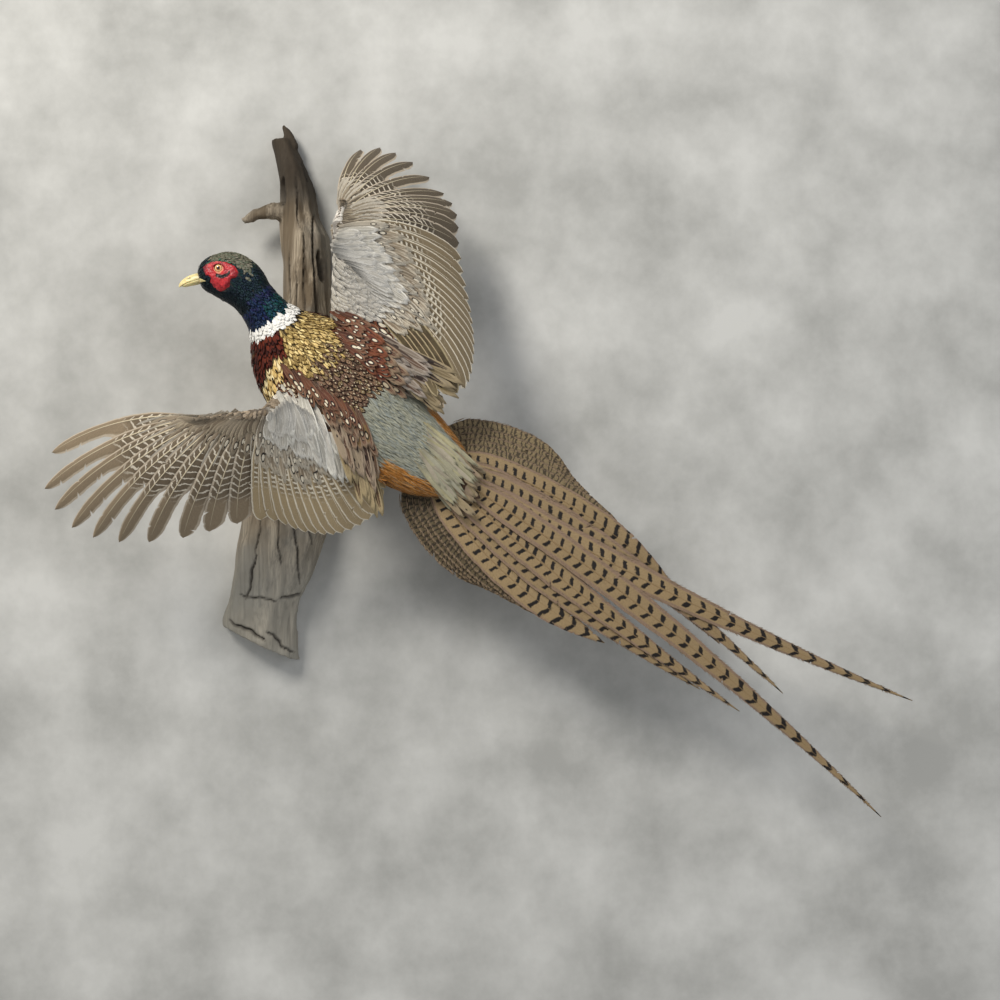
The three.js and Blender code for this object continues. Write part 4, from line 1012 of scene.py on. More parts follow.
def growRow(plumage, side, row, draws):
    surface = surfaces[side]
    below = row["layer"] < 0
    first, last, step = row["feathers"]
    count = int((last - first) / step)
    u = first + step * (np.arange(count) + draws.uniform(0.3, 0.7, count))
    share = np.linspace(0, 1, 8)
    start = row["shares"][0] * mix(0.3, 1, smooth(u, 10, 15)) + draws.normal(0, 0.012, count)
    end = row["shares"][1] + draws.normal(0, row.get("uneven", 0.014), count)
    t = mix(start[:, None], end[:, None], share)
    grid = np.broadcast_to(u[:, None], t.shape)
    out = surface.out(u)[:, None] * (-1 if below else 1) + np.zeros((count, len(share), 1))
    wingRoot = np.where(grid > wristAt, 7, 4) * mm * (1 - smooth(t, -0.1, 0.17))
    level = flightLevel(grid) * smooth(t, -0.05, 0.15)
    heights = wingRoot + abs(row["layer"]) * mm + (-level + 0.6 * mm if below else level)
    heights += draws.uniform(0, 0.5, count)[:, None] * mm * share
    points = surface.point(grid, t)
    halves = row["half"] * mm * draws.uniform(0.9, 1.1, count)
    lengths = pathLengths(points)
    tilt = np.radians(draws.normal(10, 4, count)) * surface.inward
    strip = 0.62 + 0.1 * (side == "right") + 0.2 * below
    home = np.stack([0.02 + (u + 2) / 29 * 0.95, np.full(count, strip)], 1)
    marks = lookMarks(row, count, lengths / halves, draws)
    # On the right wing these rows are darkened by their right-side factor: painted shade, as on the right
    # wing's flight feathers.
    marks["ground"][:, :3] *= row.get("rightWingShade", 1) if side == "right" else 1
    addFeathers(plumage, points, out, halves, heights, "vane", 5, tilt, home, marks)


rowDraws = np.random.default_rng(5)
for side in ("left", "right"):
    plumages[side + "Coverts"] = Plumage()
    for row in covertRows:
        growRow(plumages[side + "Coverts"], side, row, rowDraws)


# The feathers that are there already, to lay longer ones over them on the shoulders, wings and tail base.
def coatTree():
    points, quads, offset = [], [], 0
    for rings in (part[0] for plumage in plumages.values() for part in plumage.parts):
        index = offset + np.arange(rings[..., 0].size).reshape(rings.shape[:3])
        corners = (index[:, :-1, :-1], index[:, :-1, 1:], index[:, 1:, 1:], index[:, 1:, :-1])
        quads.append(np.stack(corners, -1).reshape(-1, 4))
        points.append(rings.reshape(-1, 3))
        offset += index.size
    return BVHTree.FromPolygons(np.concatenate(points).tolist(), np.concatenate(quads).tolist())


# Rows run between two lines of roots and two of tips, each x and z in millimetres from one end to the other.
drapedRows = {
    "leftCoverts": [
        {"roots": ((12, -16), (64, -40)), "tips": ((26, -60), (82, -96)), "count": 12, "half": 4.6, "lift": 1.2,
         "ground": ("#cbc7bb", "#bcb8ac", "#d6d0c3"), "fringe": "#efebdf", "rim": 0.14},
        {"roots": ((62, -36), (92, -66)), "tips": ((84, -112), (108, -124)), "count": 11, "half": 3.8,
         "lift": 1.5, "ground": ("#7d6c4c", "#6e5d40", "#8a7a5c", "#553e28"), "fringe": "#a08f6c", "rim": 0.2,
         "spot": 0.5, "heart": "#1d120c", "heartAt": 0.5, "heartStray": 0.3, "uneven": 0.6},
        {"roots": ((54, -22), (94, -52)), "tips": ((74, -76), (106, -102)), "count": 12, "half": 3.6,
         "lift": 2.0, "ground": ("#4f3324", "#6b503a", "#93836c", "#3d281c"), "fringe": "#a3907a", "rim": 0.16,
         "spot": 0.46, "heart": "#24150e", "heartAt": 0.55, "heartStray": 0.3, "uneven": 0.6},
        {"roots": ((44, -4), (92, -38)), "tips": ((60, -34), (104, -70)), "count": 14, "half": 3.4, "lift": 2.3,
         "ground": ("#6a4a38", "#5b4030", "#5d3826", "#7a6038"), "fringe": "#8f7862", "rim": 0.16, "spot": 0.4,
         "ring": 0.26, "heart": "#b9a78c", "heartAt": 0.66, "uneven": 0.6},
        {"roots": ((14, 18), (80, -24)), "tips": ((28, -4), (92, -46)), "count": 17, "half": 3.1, "lift": 2.3,
         "ground": ("#5c3221", "#4a2618", "#6b4029"), "fringe": "#7d5c46", "rim": 0.12, "spot": 0.4,
         "ring": 0.26, "heart": "#e0d2b6", "heartAt": 0.72, "uneven": 0.5},
    ],
    "rightCoverts": [
        {"roots": ((116, 44), (128, 12)), "tips": ((188, 8), (162, -24)), "count": 15, "half": 3.8, "lift": 1.2,
         "ground": ("#8d8272", "#5c4a35", "#8a7850", "#33251b", "#75664a"), "fringe": "#98886a", "rim": 0.2,
         "spot": 0.46, "heart": "#1d120c", "heartAt": 0.5, "heartStray": 0.3, "uneven": 0.6},
        {"roots": ((102, 54), (116, 12)), "tips": ((156, 24), (150, -18)), "count": 12, "half": 3.8,
         "lift": 2.0, "ground": ("#8f8476", "#7d7062", "#5d4636", "#46352a"), "fringe": "#a3978a", "rim": 0.16,
         "spot": 0.42, "ring": 0.1, "heart": "#2b1c15", "heartAt": 0.6, "heartStray": 0.25, "uneven": 0.5},
        {"roots": ((94, 52), (102, 14)), "tips": ((130, 30), (130, -8)), "count": 11, "half": 3.9, "lift": 2.4,
         "ground": ("#5b3a28", "#6a4630", "#4c2a1c"), "fringe": "#8d7760", "rim": 0.18, "spot": 0.46,
         "ring": 0.26, "heart": "#b3a488", "heartAt": 0.64},
        {"roots": ((82, 64), (94, 20)), "tips": ((114, 46), (114, 8)), "count": 12, "half": 3.6, "lift": 2.4,
         "ground": ("#662f1a", "#71391f", "#56271a"), "fringe": "#7d4a30", "rim": 0.1, "spot": 0.42,
         "ring": 0.24, "heart": "#e0d3ba", "heartAt": 0.72, "uneven": 0.9},
        {"roots": ((62, 78), (82, 32)), "tips": ((92, 64), (100, 20)), "count": 14, "half": 3.3, "lift": 2.6,
         "ground": ("#5c3221", "#4a2618", "#6b3a24"), "fringe": "#7d5c46", "rim": 0.12, "spot": 0.44,
         "ring": 0.26, "heart": "#e6dcc4", "heartAt": 0.7, "uneven": 0.5},
    ],
    "rump": [
        {"roots": ((176, -54), (158, -96)), "tips": ((212, -84), (188, -128)), "count": 16, "half": 3.0,
         "lift": 1.0, "ground": ("#978768", "#94806c", "#9c8c70"), "fringe": "#96866c", "rim": 0.14,
         "spot": 0.3, "heart": "#1d1610", "heartAt": 0.55, "heartStray": 0.3, "uneven": 0.8},
        {"roots": ((164, -42), (148, -84)), "tips": ((198, -70), (172, -114)), "count": 24, "half": 2.1,
         "lift": 1.5, "ground": ("#a8a284", "#a39e86", "#b0a884", "#a4a08c", "#a69c8a"), "fringe": "#ada88c",
         "rim": 0.1},
    ],
}


def layRow(plumage, row, tree, draws):
    count = row["count"] * 2
    place = (np.arange(count) // 2 + draws.uniform(0.1, 0.9, count)) / row["count"]
    stagger = draws.uniform(0, 0.6, (count, 1))  # some feathers start further back than others
    roots = mix(*(np.array(p, float) for p in row["roots"]), place[:, None])
    tips = mix(*(np.array(p, float) for p in row["tips"]), place[:, None])
    back = (tips - roots) * stagger
    roots, tips = roots - back, tips - back + draws.normal(0, 2.6, (count, 2))
    share = np.linspace(0, 1, 9)
    flat = mix(roots[:, None], tips[:, None], share[None, :, None]) * mm
    bend = draws.normal(0, 0.03, count)[:, None, None] * (share * (1 - share))[None, :, None]
    flat = flat + bend * (flat[:, -1:] - flat[:, :1])[..., ::-1] * (1, -1)
    points = np.empty((count, len(share), 3))
    points[..., 0], points[..., 2] = flat[..., 0], flat[..., 1]
    for spot in points:
        hits = [tree.ray_cast(Vector((p[0], -0.4, p[2])), Vector((0, 1, 0)))[0] for p in spot]
        depths = [hit.y if hit else 0 for hit in hits]
        depth = next((y for y in depths if y < -0.12), -0.15)
        for p, y in zip(spot, depths):
            depth = y if abs(y - depth) < 0.02 else depth
            p[1] = depth
    smoothed = points[..., 1].copy()
    for _ in range(6):
        smoothed[:, 1:-1] = (smoothed[:, :-2] + smoothed[:, 1:-1] * 2 + smoothed[:, 2:]) / 4
    points[..., 1] = smoothed
    ups = np.broadcast_to(outOfWall, points.shape)
    heights = (0.3 + row["lift"] * np.sin(share * 1.6)[None] * draws.uniform(0.7, 1.2, (count, 1))) * mm
    halves = row["half"] * mm * draws.uniform(0.85, 1.12, count)
    lengths = pathLengths(points)
    home = np.stack([0.5 + place * 0.45, np.full(count, 0.52 + 0.004 * row["count"])], 1)
    marks = lookMarks(row, count, lengths / halves, draws)
    tilt = np.radians(draws.normal(0, 3, count))
    addFeathers(plumage, points, ups, halves, heights, "vane", 5, tilt, home, marks)


for key, rows in drapedRows.items():
    for row in rows:
        layRow(plumages[key], row, coatTree(), rowDraws)


coatPieces = {
    "head": ("head_coat", headFeathers),
    "body": ("body_coat", bodyFeathers),
    "rump": ("rump_coat", bodyFeathers),
    "arms": ("arm_coat", wingCoverts),
    "leftCoverts": ("left_covert_rows", wingCoverts),
    "rightCoverts": ("right_covert_rows", wingCoverts),
}
for key, (name, material) in coatPieces.items():
    plumages[key].build(name, material)


# One stiff flight or tail feather. spot(aside, share, height) gives places in the world, and widths are the
# two vanes' at a share, the one on the negative side first.
def stiffFeather(plumage, spot, length, widths, look, home, draws):
    splits = draws.uniform(0.35, 0.97, look.get("splits", 3))
    sides = draws.choice((-1, 1), len(splits))
    depths = draws.uniform(0.1, 0.45, len(splits))
    breadth = 1.6 * mm / length
    even = np.linspace(0, 1, look["steps"])
    share = np.unique(np.concatenate([even, splits, splits - breadth, splits + breadth]))
    share = share[(share >= 0) & (share <= 1)]
    across = np.linspace(-1, 1, look["columns"])
    wave = draws.uniform(0, 7, 4)
    halves = []
    for sign, width in ((-1, widths[0](share)), (1, widths[1](share))):
        jagged = 1 + 0.02 * np.sin(share * 47 + wave[sign]) + 0.015 * np.sin(share * 113 + wave[sign + 1])
        for split, where, depth in zip(splits, sides, depths):
            if where == sign:
                jagged -= depth * np.maximum(0, 1 - np.abs(share - split) / breadth)
        halves.append(width * jagged)
    halfAt = np.where(across[None] < 0, halves[0][:, None], halves[1][:, None])
    aside = halfAt * across
    barbs = np.abs(aside) * look["barbSlant"] / length * (1 - share[:, None] ** 6)
    shares = np.minimum(share[:, None] + barbs, 1)
    cup = look["roll"] * mm * across - look["cup"] * mm * across**2 * smooth(share, 0, 0.3)[:, None]
    thick = look["thick"] * mm * (1 - 0.7 * np.abs(across))
    top = spot(aside, shares, cup + thick / 2)
    under = spot(aside[:, 1:-1], shares[:, 1:-1], (cup - thick / 2)[:, 1:-1])
    rings, rims = shellRings(top[None], under[None])
    bake = shellPatch(across, across[1:-1], share, home[None], look["patch"])
    ring = np.concatenate([across, across[1:-1][::-1]])
    vane = vanePlaces(rings.shape, ring, np.concatenate([shares, shares[:, 1:-1][:, ::-1]], 1), length)
    rows = {name: look[name](share) if callable(look[name]) else look[name] for name in stiffMarks}
    marks = {name: np.array([row], float) for name, row in rows.items()}
    plumage.add(rings, bake, vane, rims, **marks)

    line = np.linspace(0, 0.985, look["steps"])
    radius = look["shaft"] * mm * (1 - 0.88 * line)
    turns = np.arange(6)[::-1] * math.pi / 3
    tube = spot(radius[:, None] * np.cos(turns), line[:, None] + 0 * turns, radius[:, None] * np.sin(turns))
    around = np.linspace(0, 1, 7)
    grid = np.stack(np.broadcast_arrays(around[None], line[:, None]), -1) * 0.4
    vane = vanePlaces((1, len(line), 6), 0, line[:, None], length)
    marks = {name: np.zeros((1, 4 if name in ("ground", "bar", "edge") else 3)) for name in stiffMarks}
    marks["ground"][:] = look["shaftColour"]
    marks["bars"][:] = 1
    bake = home[None, None, None] + grid[None] * look["patch"]
    plumage.add(tube[None], bake, vane, np.zeros(6, int), **marks)


# Values side by side for each share, for marks that change along the feather.
def sideBySide(share, *values):
    return np.stack([0 * share + v for v in values], -1)


# Turns a look's settings into marks. Those that change along the feather are functions of the share.
def stiffLook(settings, half, draws, **changes):
    look = {**settings, **changes}
    ready = {key: (*colour(look[key])[:3], look[key + "Alpha"]) for key in ("ground", "bar", "edge")}
    # A look's tone scales its ground colour: besides a small random spread, it darkens one wing and one side of
    # the tail as painted shade.
    tone = look.get("tone", 1) * math.exp(draws.normal(0, 0.05))
    ready["ground"] = (*(v * tone for v in ready["ground"][:3]), look["groundAlpha"])
    ready["shaftColour"] = (*colour(look["shaftColour"])[:3], 0)
    apart, growth = look["spacing"] * draws.uniform(0.92, 1.08), look.get("growth", 0)
    rest = (look["width"], look["slant"] * mm)
    ready["bars"] = (apart * mm, *rest)
    if growth:  # bars further and further apart
        reach = lambda share: np.maximum(share * look["reach"], 1) * growth
        ready["bars"] = lambda share: sideBySide(
            share, reach(share) / np.log1p(reach(share) / apart) * mm, *rest)
    inner, outer = look["across"]
    joined = look.get("joined", (2, 3))
    ready["limits"] = lambda share: sideBySide(
        share, mix(inner, -0.2, smooth(share, *joined)), mix(outer, 1.3, smooth(share, *joined)),
        look["wavy"] * mm)
    if "tipEdge" in look:
        rim = ready["edge"]
        ready["edge"] = lambda share: sideBySide(
            share, *rim[:3], rim[3] + smooth(share, *look["tipEdge"]))
    first, last = look["from"]
    ready["span"] = (first, last * draws.uniform(0.96, 1.04), half)
    return {**look, **ready}


# The width of a wing feather's vane: `slot` is 1 on the outermost, which narrow halfway.
def vaneShape(t, slot, cut):
    rise = 0.12 + 0.88 * smooth(t, 0, 0.3)
    notch = 1 - slot * cut * smooth(t, 0.4, 0.6)
    start = mix(0.8, 0.78, slot)
    fall = (1 - np.clip((t - start) / (1 - start), 0, 1) ** 2) ** mix(0.5, 0.6, slot)
    return rise * notch * np.maximum(fall, 0.03)


primaryLook = {
    "steps": 54, "columns": 11, "cup": 0.9, "roll": 0.2, "thick": 0.3, "barbSlant": 0.9, "shaft": 0.95,
    "splits": 4, "patch": (0.04, 0.2), "ground": "#93826a", "groundAlpha": 0.5, "bar": "#e6dcc8",
    "barAlpha": 0.95, "edge": "#c2b49f", "edgeAlpha": 0.22, "shaftColour": "#d6c9ac", "spacing": 8.6,
    "width": 0.22, "slant": 8, "across": (0.04, 0.93), "wavy": 7, "from": (0.08, 0.66), "tipEdge": (0.96, 1.15),
}
secondaryLook = {
    **primaryLook, "steps": 40, "columns": 9, "cup": 0.7, "roll": 0.9, "splits": 2, "shaft": 0.85,
    "patch": (0.03, 0.16), "ground": "#b5a07c", "edge": "#efe5cf", "edgeAlpha": 0.16, "bar": "#efe6d2",
    "barAlpha": 0.9, "spacing": 6.2, "width": 0.36, "across": (0.12, 0.6), "wavy": 5, "from": (0.1, 0.6),
    "shaftColour": "#e8ddc6", "tipEdge": (0.93, 1.05), "slant": 3,
}
tertialLook = {
    **secondaryLook, "ground": "#978560", "edge": "#b5a582", "edgeAlpha": 0.2, "bar": "#33241a",
    "barAlpha": 0.35, "spacing": 24, "width": 0.45, "across": (0.1, 0.72), "wavy": 30, "from": (0.05, 0.93),
    "shaftColour": "#c4ae8c",
}


# Each wing feather lies on the wing's surface. Positive sides are the leading ones where the wing is
# right-handed.
def wingFeather(plumage, surface, u, leading, trailing, look, home, draws):
    slot = 1 - smooth(np.float64(u), 4.5, 8.5)
    bow = (surface.bow[0] + surface.bow[1] * slot) * mm * (u < primaries)
    spot = lambda aside, share, height: surface.beside(
        u + 0 * aside, share, -surface.inward * aside - bow * 4 * share * (1 - share), height + flightLevel(u))
    vanes = [lambda t: trailing * mm * vaneShape(t, slot, 0.42),
             lambda t: leading * mm * vaneShape(t, slot, 0.2)][:: surface.inward]
    look = {**look, "roll": look["roll"] * surface.inward}
    stiffFeather(plumage, spot, float(surface.length(np.float64(u))), vanes, look, home, draws)


flightDraws = np.random.default_rng(23)
for order, side in enumerate(("left", "right")):
    surface = surfaces[side]
    for u in range(primaries):
        plumage = Plumage()
        # tone darkens the right wing's primaries to 0.4 of the left's: painted shade.
        changes = {"across": (0.04, 0.6 + 0.04 * u), "from": (0.1, 0.46 + 0.03 * u), "tone": 1 - 0.6 * order}
        look = stiffLook(primaryLook, 15.5 * mm, flightDraws, **changes)
        home = np.array((0.02 + 0.048 * (2 * u + order), 0.02))
        wingFeather(plumage, surface, u, 4.5 + 0.5 * u, 15.5, look, home, flightDraws)
        name = f"{side}_primary_{primaries - u}"
        plumage.build(name + "_vane", flightFeathers, (name,))
    plumage = Plumage()
    for u in range(primaries, lastFeather + 1):
        look = tertialLook if u > lastFeather - 3 else secondaryLook
        # tone darkens the right wing's secondaries and tertials to 0.56 of the left's: painted shade.
        look = stiffLook(look, 12 * mm, flightDraws, tone=1 - 0.44 * order)
        home = np.array((0.02 + 0.038 * (u - primaries), 0.3 + 0.2 * order))
        slim = 1 - 0.45 * smooth(u, 22, lastFeather)
        wingFeather(plumage, surface, u, 7.5 * slim, 11.5 * slim, look, home, flightDraws)
    plumage.build(f"{side}_secondary_vanes", flightFeathers, (f"{side}_secondaries",))

# Length in millimetres, angle below level in degrees, and bow, from the middle pair outwards.
tailPairs = {
    "left": [(562, 38, -0.026), (384, 38.9, 0.02), (340, 40.2, 0.04), (240, 46.5, 0.08), (214, 48.5, 0.09),
             (188, 51, 0.11), (168, 54, 0.12), (152, 57.5, 0.13), (138, 62, 0.14)],
    "right": [(530, 25.9, -0.025), (410, 33.1, 0.045), (330, 32, 0.045), (266, 27.2, 0.075), (228, 24.5, 0.09),
              (196, 21, 0.1), (172, 17, 0.11), (153, 12, 0.12), (136, 4, 0.13)],
}
tailRoot = np.array((156, -127, -68)) * mm
tailBack = unit(np.array((0.09, -0.985, 0.1)))
tailAngle = math.radians(38)
tailAxis = squareTo(np.array((math.cos(tailAngle), 0, -math.sin(tailAngle))), tailBack)
tailRight = np.cross(tailBack, tailAxis) * np.sign(np.cross(tailBack, tailAxis)[2])
tailLook = {
    **primaryLook, "fringe": "#85725c", "steps": 70, "cup": 0.8, "shaft": 0.9, "barbSlant": 0.8, "splits": 5,
    "patch": (0.05, 0.42), "ground": "#957f5c", "groundAlpha": 0.7, "bar": "#17110d", "barAlpha": 1,
    "edge": "#8a735f", "edgeAlpha": 0.2, "shaftColour": "#8b7350", "spacing": 8.6, "width": 0.32,
    "growth": 0.022, "slant": 3.0, "across": (0.07, 0.62), "wavy": 4, "from": (0.06, 1.2),
    "joined": (0.6, 0.82), "tipEdge": (2, 3),
}
outerTail = {
    "ground": "#807052", "groundAlpha": 1.6, "edge": "#7a6850", "edgeAlpha": 0.12, "spacing": 4.6, "width": 0.4,
    "across": (0.06, 1.1), "wavy": 8, "barAlpha": 0.75, "slant": 1, "growth": 0,
}


def tailFeather(side, pair):
    length, angle, bow = tailPairs[side][pair]
    sign = 1 if side == "right" else -1
    flat = lambda along, aside: tailRoot + (tailAxis * along + tailRight * aside) * mm
    turn = tailAngle - math.radians(angle)
    tip = flat(length * math.cos(turn), length * math.sin(turn))
    root = flat(-0.28 * pair**2, sign * (pair + 0.5) * 3.1)
    outward = squareTo(tailRight * sign, unit(tip - root))
    middle = mix(root, tip, 0.45) + outward * 2 * bow * length * mm
    layer = (pair * 2 + (sign > 0)) * 1.15 * mm
    half = 13.5 * (1 if pair < 4 else 1 - 0.03 * (pair - 3))
    pointed, power = (0.42, 1) if pair < 3 else (0.62, 1.8)

    def spot(aside, share, height):
        t = np.asarray(share)[..., None]
        centre = root * (1 - t) ** 2 + middle * 2 * t * (1 - t) + tip * t**2
        way = unit((middle - root) * (1 - t) + (tip - middle) * t)
        reach = np.linalg.norm(centre - tailRoot, axis=-1)
        droop = 16 * mm * (reach / 0.4) ** 2
        side = np.cross(way, tailBack)
        return centre + side * np.asarray(aside)[..., None] + tailBack * (height - layer - droop)[..., None]

    def width(t):
        taper = 1 - 0.97 * (np.maximum(t - pointed, 0) / (1 - pointed)) ** power
        return half * mm * (0.35 + 0.65 * smooth(t, 0, 0.16)) * taper

    return spot, width, length * mm, half


# Loose barbs along a feather's edges: thin closed slivers that leave the edge towards the tip.
def addSlivers(plumage, spot, width, length, look, home, draws):
    count = int(length * 2 / (1.0 * mm))
    share = draws.uniform(0.1, 0.97, count)
    sign = draws.choice((-1, 1), count)
    reach = draws.uniform(3, 8, count) * mm * (1 - 0.6 * smooth(share, 0.5, 1))
    line = np.linspace(0, 1, 4)
    t = np.minimum(share[:, None] + line * reach[:, None] * 0.85 / length, 1)
    aside = sign[:, None] * (width(share)[:, None] * 0.86 + line * reach[:, None] * 0.42)
    thin = 0.33 * mm * (1 - 0.85 * line)
    height = (-0.5 - 0.9 * line) * mm + draws.uniform(-0.3, 0.3, count)[:, None] * mm
    across = np.array((-1, 0, 1))
    rise = np.array((0, 0.12 * mm, 0))
    top = spot(aside[..., None] + thin[:, None] * across, t[..., None] + 0 * across, height[..., None] + rise)
    under = spot(aside[..., None], t[..., None], height[..., None] - 0.12 * mm)
    rings, rims = shellRings(top, under)
    home = home + np.stack([sign * 0.01 + 0.02, share * 0.4], 1)
    bake = shellPatch(across, across[1:-1], line, home, (0.003, 0.003))
    vane = vanePlaces(rings.shape, 0, t[..., None], length)
    marks = {name: np.zeros((count, 4 if name in ("ground", "bar", "edge") else 3)) for name in stiffMarks}
    marks["ground"][:] = (*colour(look["fringe"])[:3], 0)
    marks["ground"] *= draws.uniform(0.7, 1.15, (count, 1))
    marks["bars"][:] = 1
    plumage.add(rings, bake, vane, rims, **marks)


for order, side in enumerate(("left", "right")):
    for pair in range(9):
        spot, width, length, half = tailFeather(side, pair)
        changes = {"edgeAlpha": 0.26 - 0.04 * pair, "reach": length / mm}
        if pair > 3:
            # tone darkens the left outer tail feathers to half the right ones': painted shade.
            changes = {**outerTail, "tone": 0.5 + 0.5 * order}
        look = stiffLook({**tailLook, "roll": 0}, half * mm, flightDraws, **changes)
        home = np.array((0.02 + 0.053 * (2 * pair + order), 0.02))
        plumage = Plumage()
        stiffFeather(plumage, spot, length, (width, width), look, home, flightDraws)
        addSlivers(plumage, spot, width, length, look, home + np.array((0, 0.47)), flightDraws)
        name = f"{side}_tail_feather_{pair + 1}"
        plumage.build(name + "_vane", tailFeathers, (name,))


# The skin takes its colour from the feathers that grow on it, darkened: partly the down's own duller tone and
# partly painted shade in the gaps between the feathers.
skinLooks = coatPlaces(skinPoints, skinNormals, np.random.default_rng(2))
skinZone = zoneOf(skinLooks)
skinToneWithGapShade = np.array([np.mean([colour(code) for code in look["ground"]], axis=0)
                   * look.get("under", 0.85 if "kind" in look else 0.5) for look in zones.values()])[skinZone]
addRows(skinMesh, "ground", skinToneWithGapShade)
# Down under the feathers: soft and dull, a darker tone of what grows over it, the darkening partly the down's
# own and partly painted shade between the feathers.
down, tree, shader = newMaterial("down", {"Roughness": 0.9, "Sheen Weight": 0.3})
under = addNode(tree, "Attribute", attribute_name="ground")
coords = addNode(tree, "TexCoord", output="Object")
fluff = addNode(tree, "TexNoise", {"Vector": coords, "Scale": 900, "Detail": 3})
dark = addNode(tree, "Math", {0: fluff, 1: 0.6}, **times)
paint(tree, shader, under, ((dark, "#3a3129"),), fluff, 0.4)
link("skin", skinMesh, down, skinLook["fleshNodes"])


eyeLook = {
    "centre": (-50.2, -150, 117),
    "apart": 11.2,
    "radius": 5,
    "opening": 3.5,
    "rays": 220,
    "rings": 40,
    "thick": 2.3,
    # a line of black feathers under the eye: x and z from front to back
    "streak": ((-52.2, -46.4, -41.3, -38.8), (110.2, 108.5, 110.3, 113)),
}


# How far the two lobes reach from the eye in each direction.
def lobeReach(angles):
    reach = np.zeros(len(angles))
    for cx, cz, rx, rz, turn in wattleLobes:
        c, s = math.cos(math.radians(turn)), math.sin(math.radians(turn))
        ox, oz = eyeLook["centre"][0] - cx, eyeLook["centre"][2] - cz
        px, pz = (ox * c + oz * s) / rx, (oz * c - ox * s) / rz
        qx, qz = (np.cos(angles) * c + np.sin(angles) * s) / rx, (np.sin(angles) * c - np.cos(angles) * s) / rz
        a, b, k = qx**2 + qz**2, px * qx + pz * qz, px**2 + pz**2 - 1
        root = b**2 - a * k
        reach = np.maximum(reach, np.where(root > 0, (np.sqrt(np.maximum(root, 0)) - b) / a, 0))
    for _ in range(5):
        reach = (np.roll(reach, 1) + reach * 2 + np.roll(reach, -1)) / 4
    return reach * (1 + 0.03 * np.sin(angles * 11) + 0.02 * np.sin(angles * 23))


# A ring of warty skin over the skull, thin round the eye and at its outer edge.
def makeWattle(name, sign):
    rays, rings = eyeLook["rays"], eyeLook["rings"]
    x0, y0, z0 = eyeLook["centre"]
    reach = lobeReach(np.linspace(0, 2 * math.pi, rays + 1))
    bm = bmesh.new()
    dark, lid = bm.verts.layers.float.new("dark"), bm.verts.layers.float.new("lid")
    bmesh.ops.create_grid(bm, x_segments=rays, y_segments=rings, size=0.5)
    for v in bm.verts:
        ray, s = v.co.x + 0.5, v.co.y + 0.5
        angle = ray * 2 * math.pi
        away = mix(eyeLook["opening"], np.interp(ray, np.linspace(0, 1, rays + 1), reach), s)
        x, z = x0 + away * math.cos(angle), z0 + away * math.sin(angle)
        start = Vector((x, y0 - sign * 40, z)) * mm
        skin = skinTree.ray_cast(start, Vector((0, sign, 0)))[0] or skinTree.find_nearest(start)[0]
        bulge = eyeLook["thick"] * (0.14 + 0.86 * smooth(s, 0.02, 0.25)) * (1 - 1.2 * smooth(s, 0.74, 1))
        lump = noise.noise(Vector((x, z, 3)) * 0.45)
        wart = 1 - min(noise.voronoi(Vector((x, z, sign)) / 1.15)[0][0] * 1.5, 1)
        ridge = 0.5 * math.exp(-(((s - 0.035) / 0.03) ** 2))
        height = bulge + (0.4 * lump + 0.42 * wart) * smooth(s, 0.1, 0.25) * (1 - smooth(s, 0.85, 1)) + ridge
        v.co = Vector((x, skin.y / mm - sign * height, z)) * mm
        off = abs(z - np.interp(x, *eyeLook["streak"])) if -52.4 < x < -38.6 else 9
        # pits between the warts are darkened as painted shade; the streak's black is its feathers' own colour
        pitShade = 0.25 * (0.35 - min(wart, 0.35)) / 0.35 * smooth(s, 0.15, 0.3)
        v[dark] = min(max((2 - off) / 0.6, 0), 1) + pitShade
        v[lid] = 1 - smooth(s, 0.06, 0.12)
    bmesh.ops.remove_doubles(bm, verts=bm.verts, dist=1e-7)
    bmesh.ops.recalc_face_normals(bm, faces=bm.faces)
    outer = max(bm.faces, key=lambda f: -f.calc_center_median().y * sign)
    if outer.normal.y * sign > 0:
        bmesh.ops.reverse_faces(bm, faces=bm.faces)
    bmesh.ops.solidify(bm, geom=bm.faces[:], thickness=1.6 * mm)
    bmesh.ops.recalc_face_normals(bm, faces=bm.faces)
    return smoothMesh(name, bm)


def makeEye(name, sign):
    bm = bmesh.new()
    bmesh.ops.create_uvsphere(bm, u_segments=48, v_segments=24, radius=eyeLook["radius"] * mm)
    x, y, z = eyeLook["centre"]
    bmesh.ops.translate(bm, verts=bm.verts, vec=Vector((x, y - sign * eyeLook["apart"], z)) * mm)
    return smoothMesh(name, bm)


# Warty wattle skin: wet-looking red with painted shade in the pits between the warts, paler at the lids and
# black where feathers grow in it.
soft = {"Subsurface Weight": 0.15, "Subsurface Scale": 0.002}
wattle, tree, shader = newMaterial("wattle skin", {"Roughness": 0.4, **soft})
coords = addNode(tree, "TexCoord", output="Object")
patches = addNode(tree, "TexNoise", {"Vector": coords, "Scale": 190, "Detail": 3})
patches = addNode(tree, "MapRange", {0: patches, 1: 0.35, 2: 0.65}, **eased)
ahead = addNode(tree, "SeparateXYZ", {0: coords}, output=0)
front = addNode(tree, "MapRange", {0: ahead, 1: -0.059, 2: -0.067, 4: 0.8})
streakAndPitShade, lids = (addNode(tree, "Attribute", output=2, attribute_name=n) for n in ("dark", "lid"))
lids = addNode(tree, "Math", {0: lids, 1: 0.75}, **times)
layers = ((patches, "#cc3238"), (front, "#3a1224"), (lids, "#d98d62"), (streakAndPitShade, "#0d0808"))
grains = addNode(tree, "TexVoronoi", {"Vector": coords, "Scale": 1500})
paint(tree, shader, colour("#951320"), layers, grains, 0.2, 0.5).invert = True

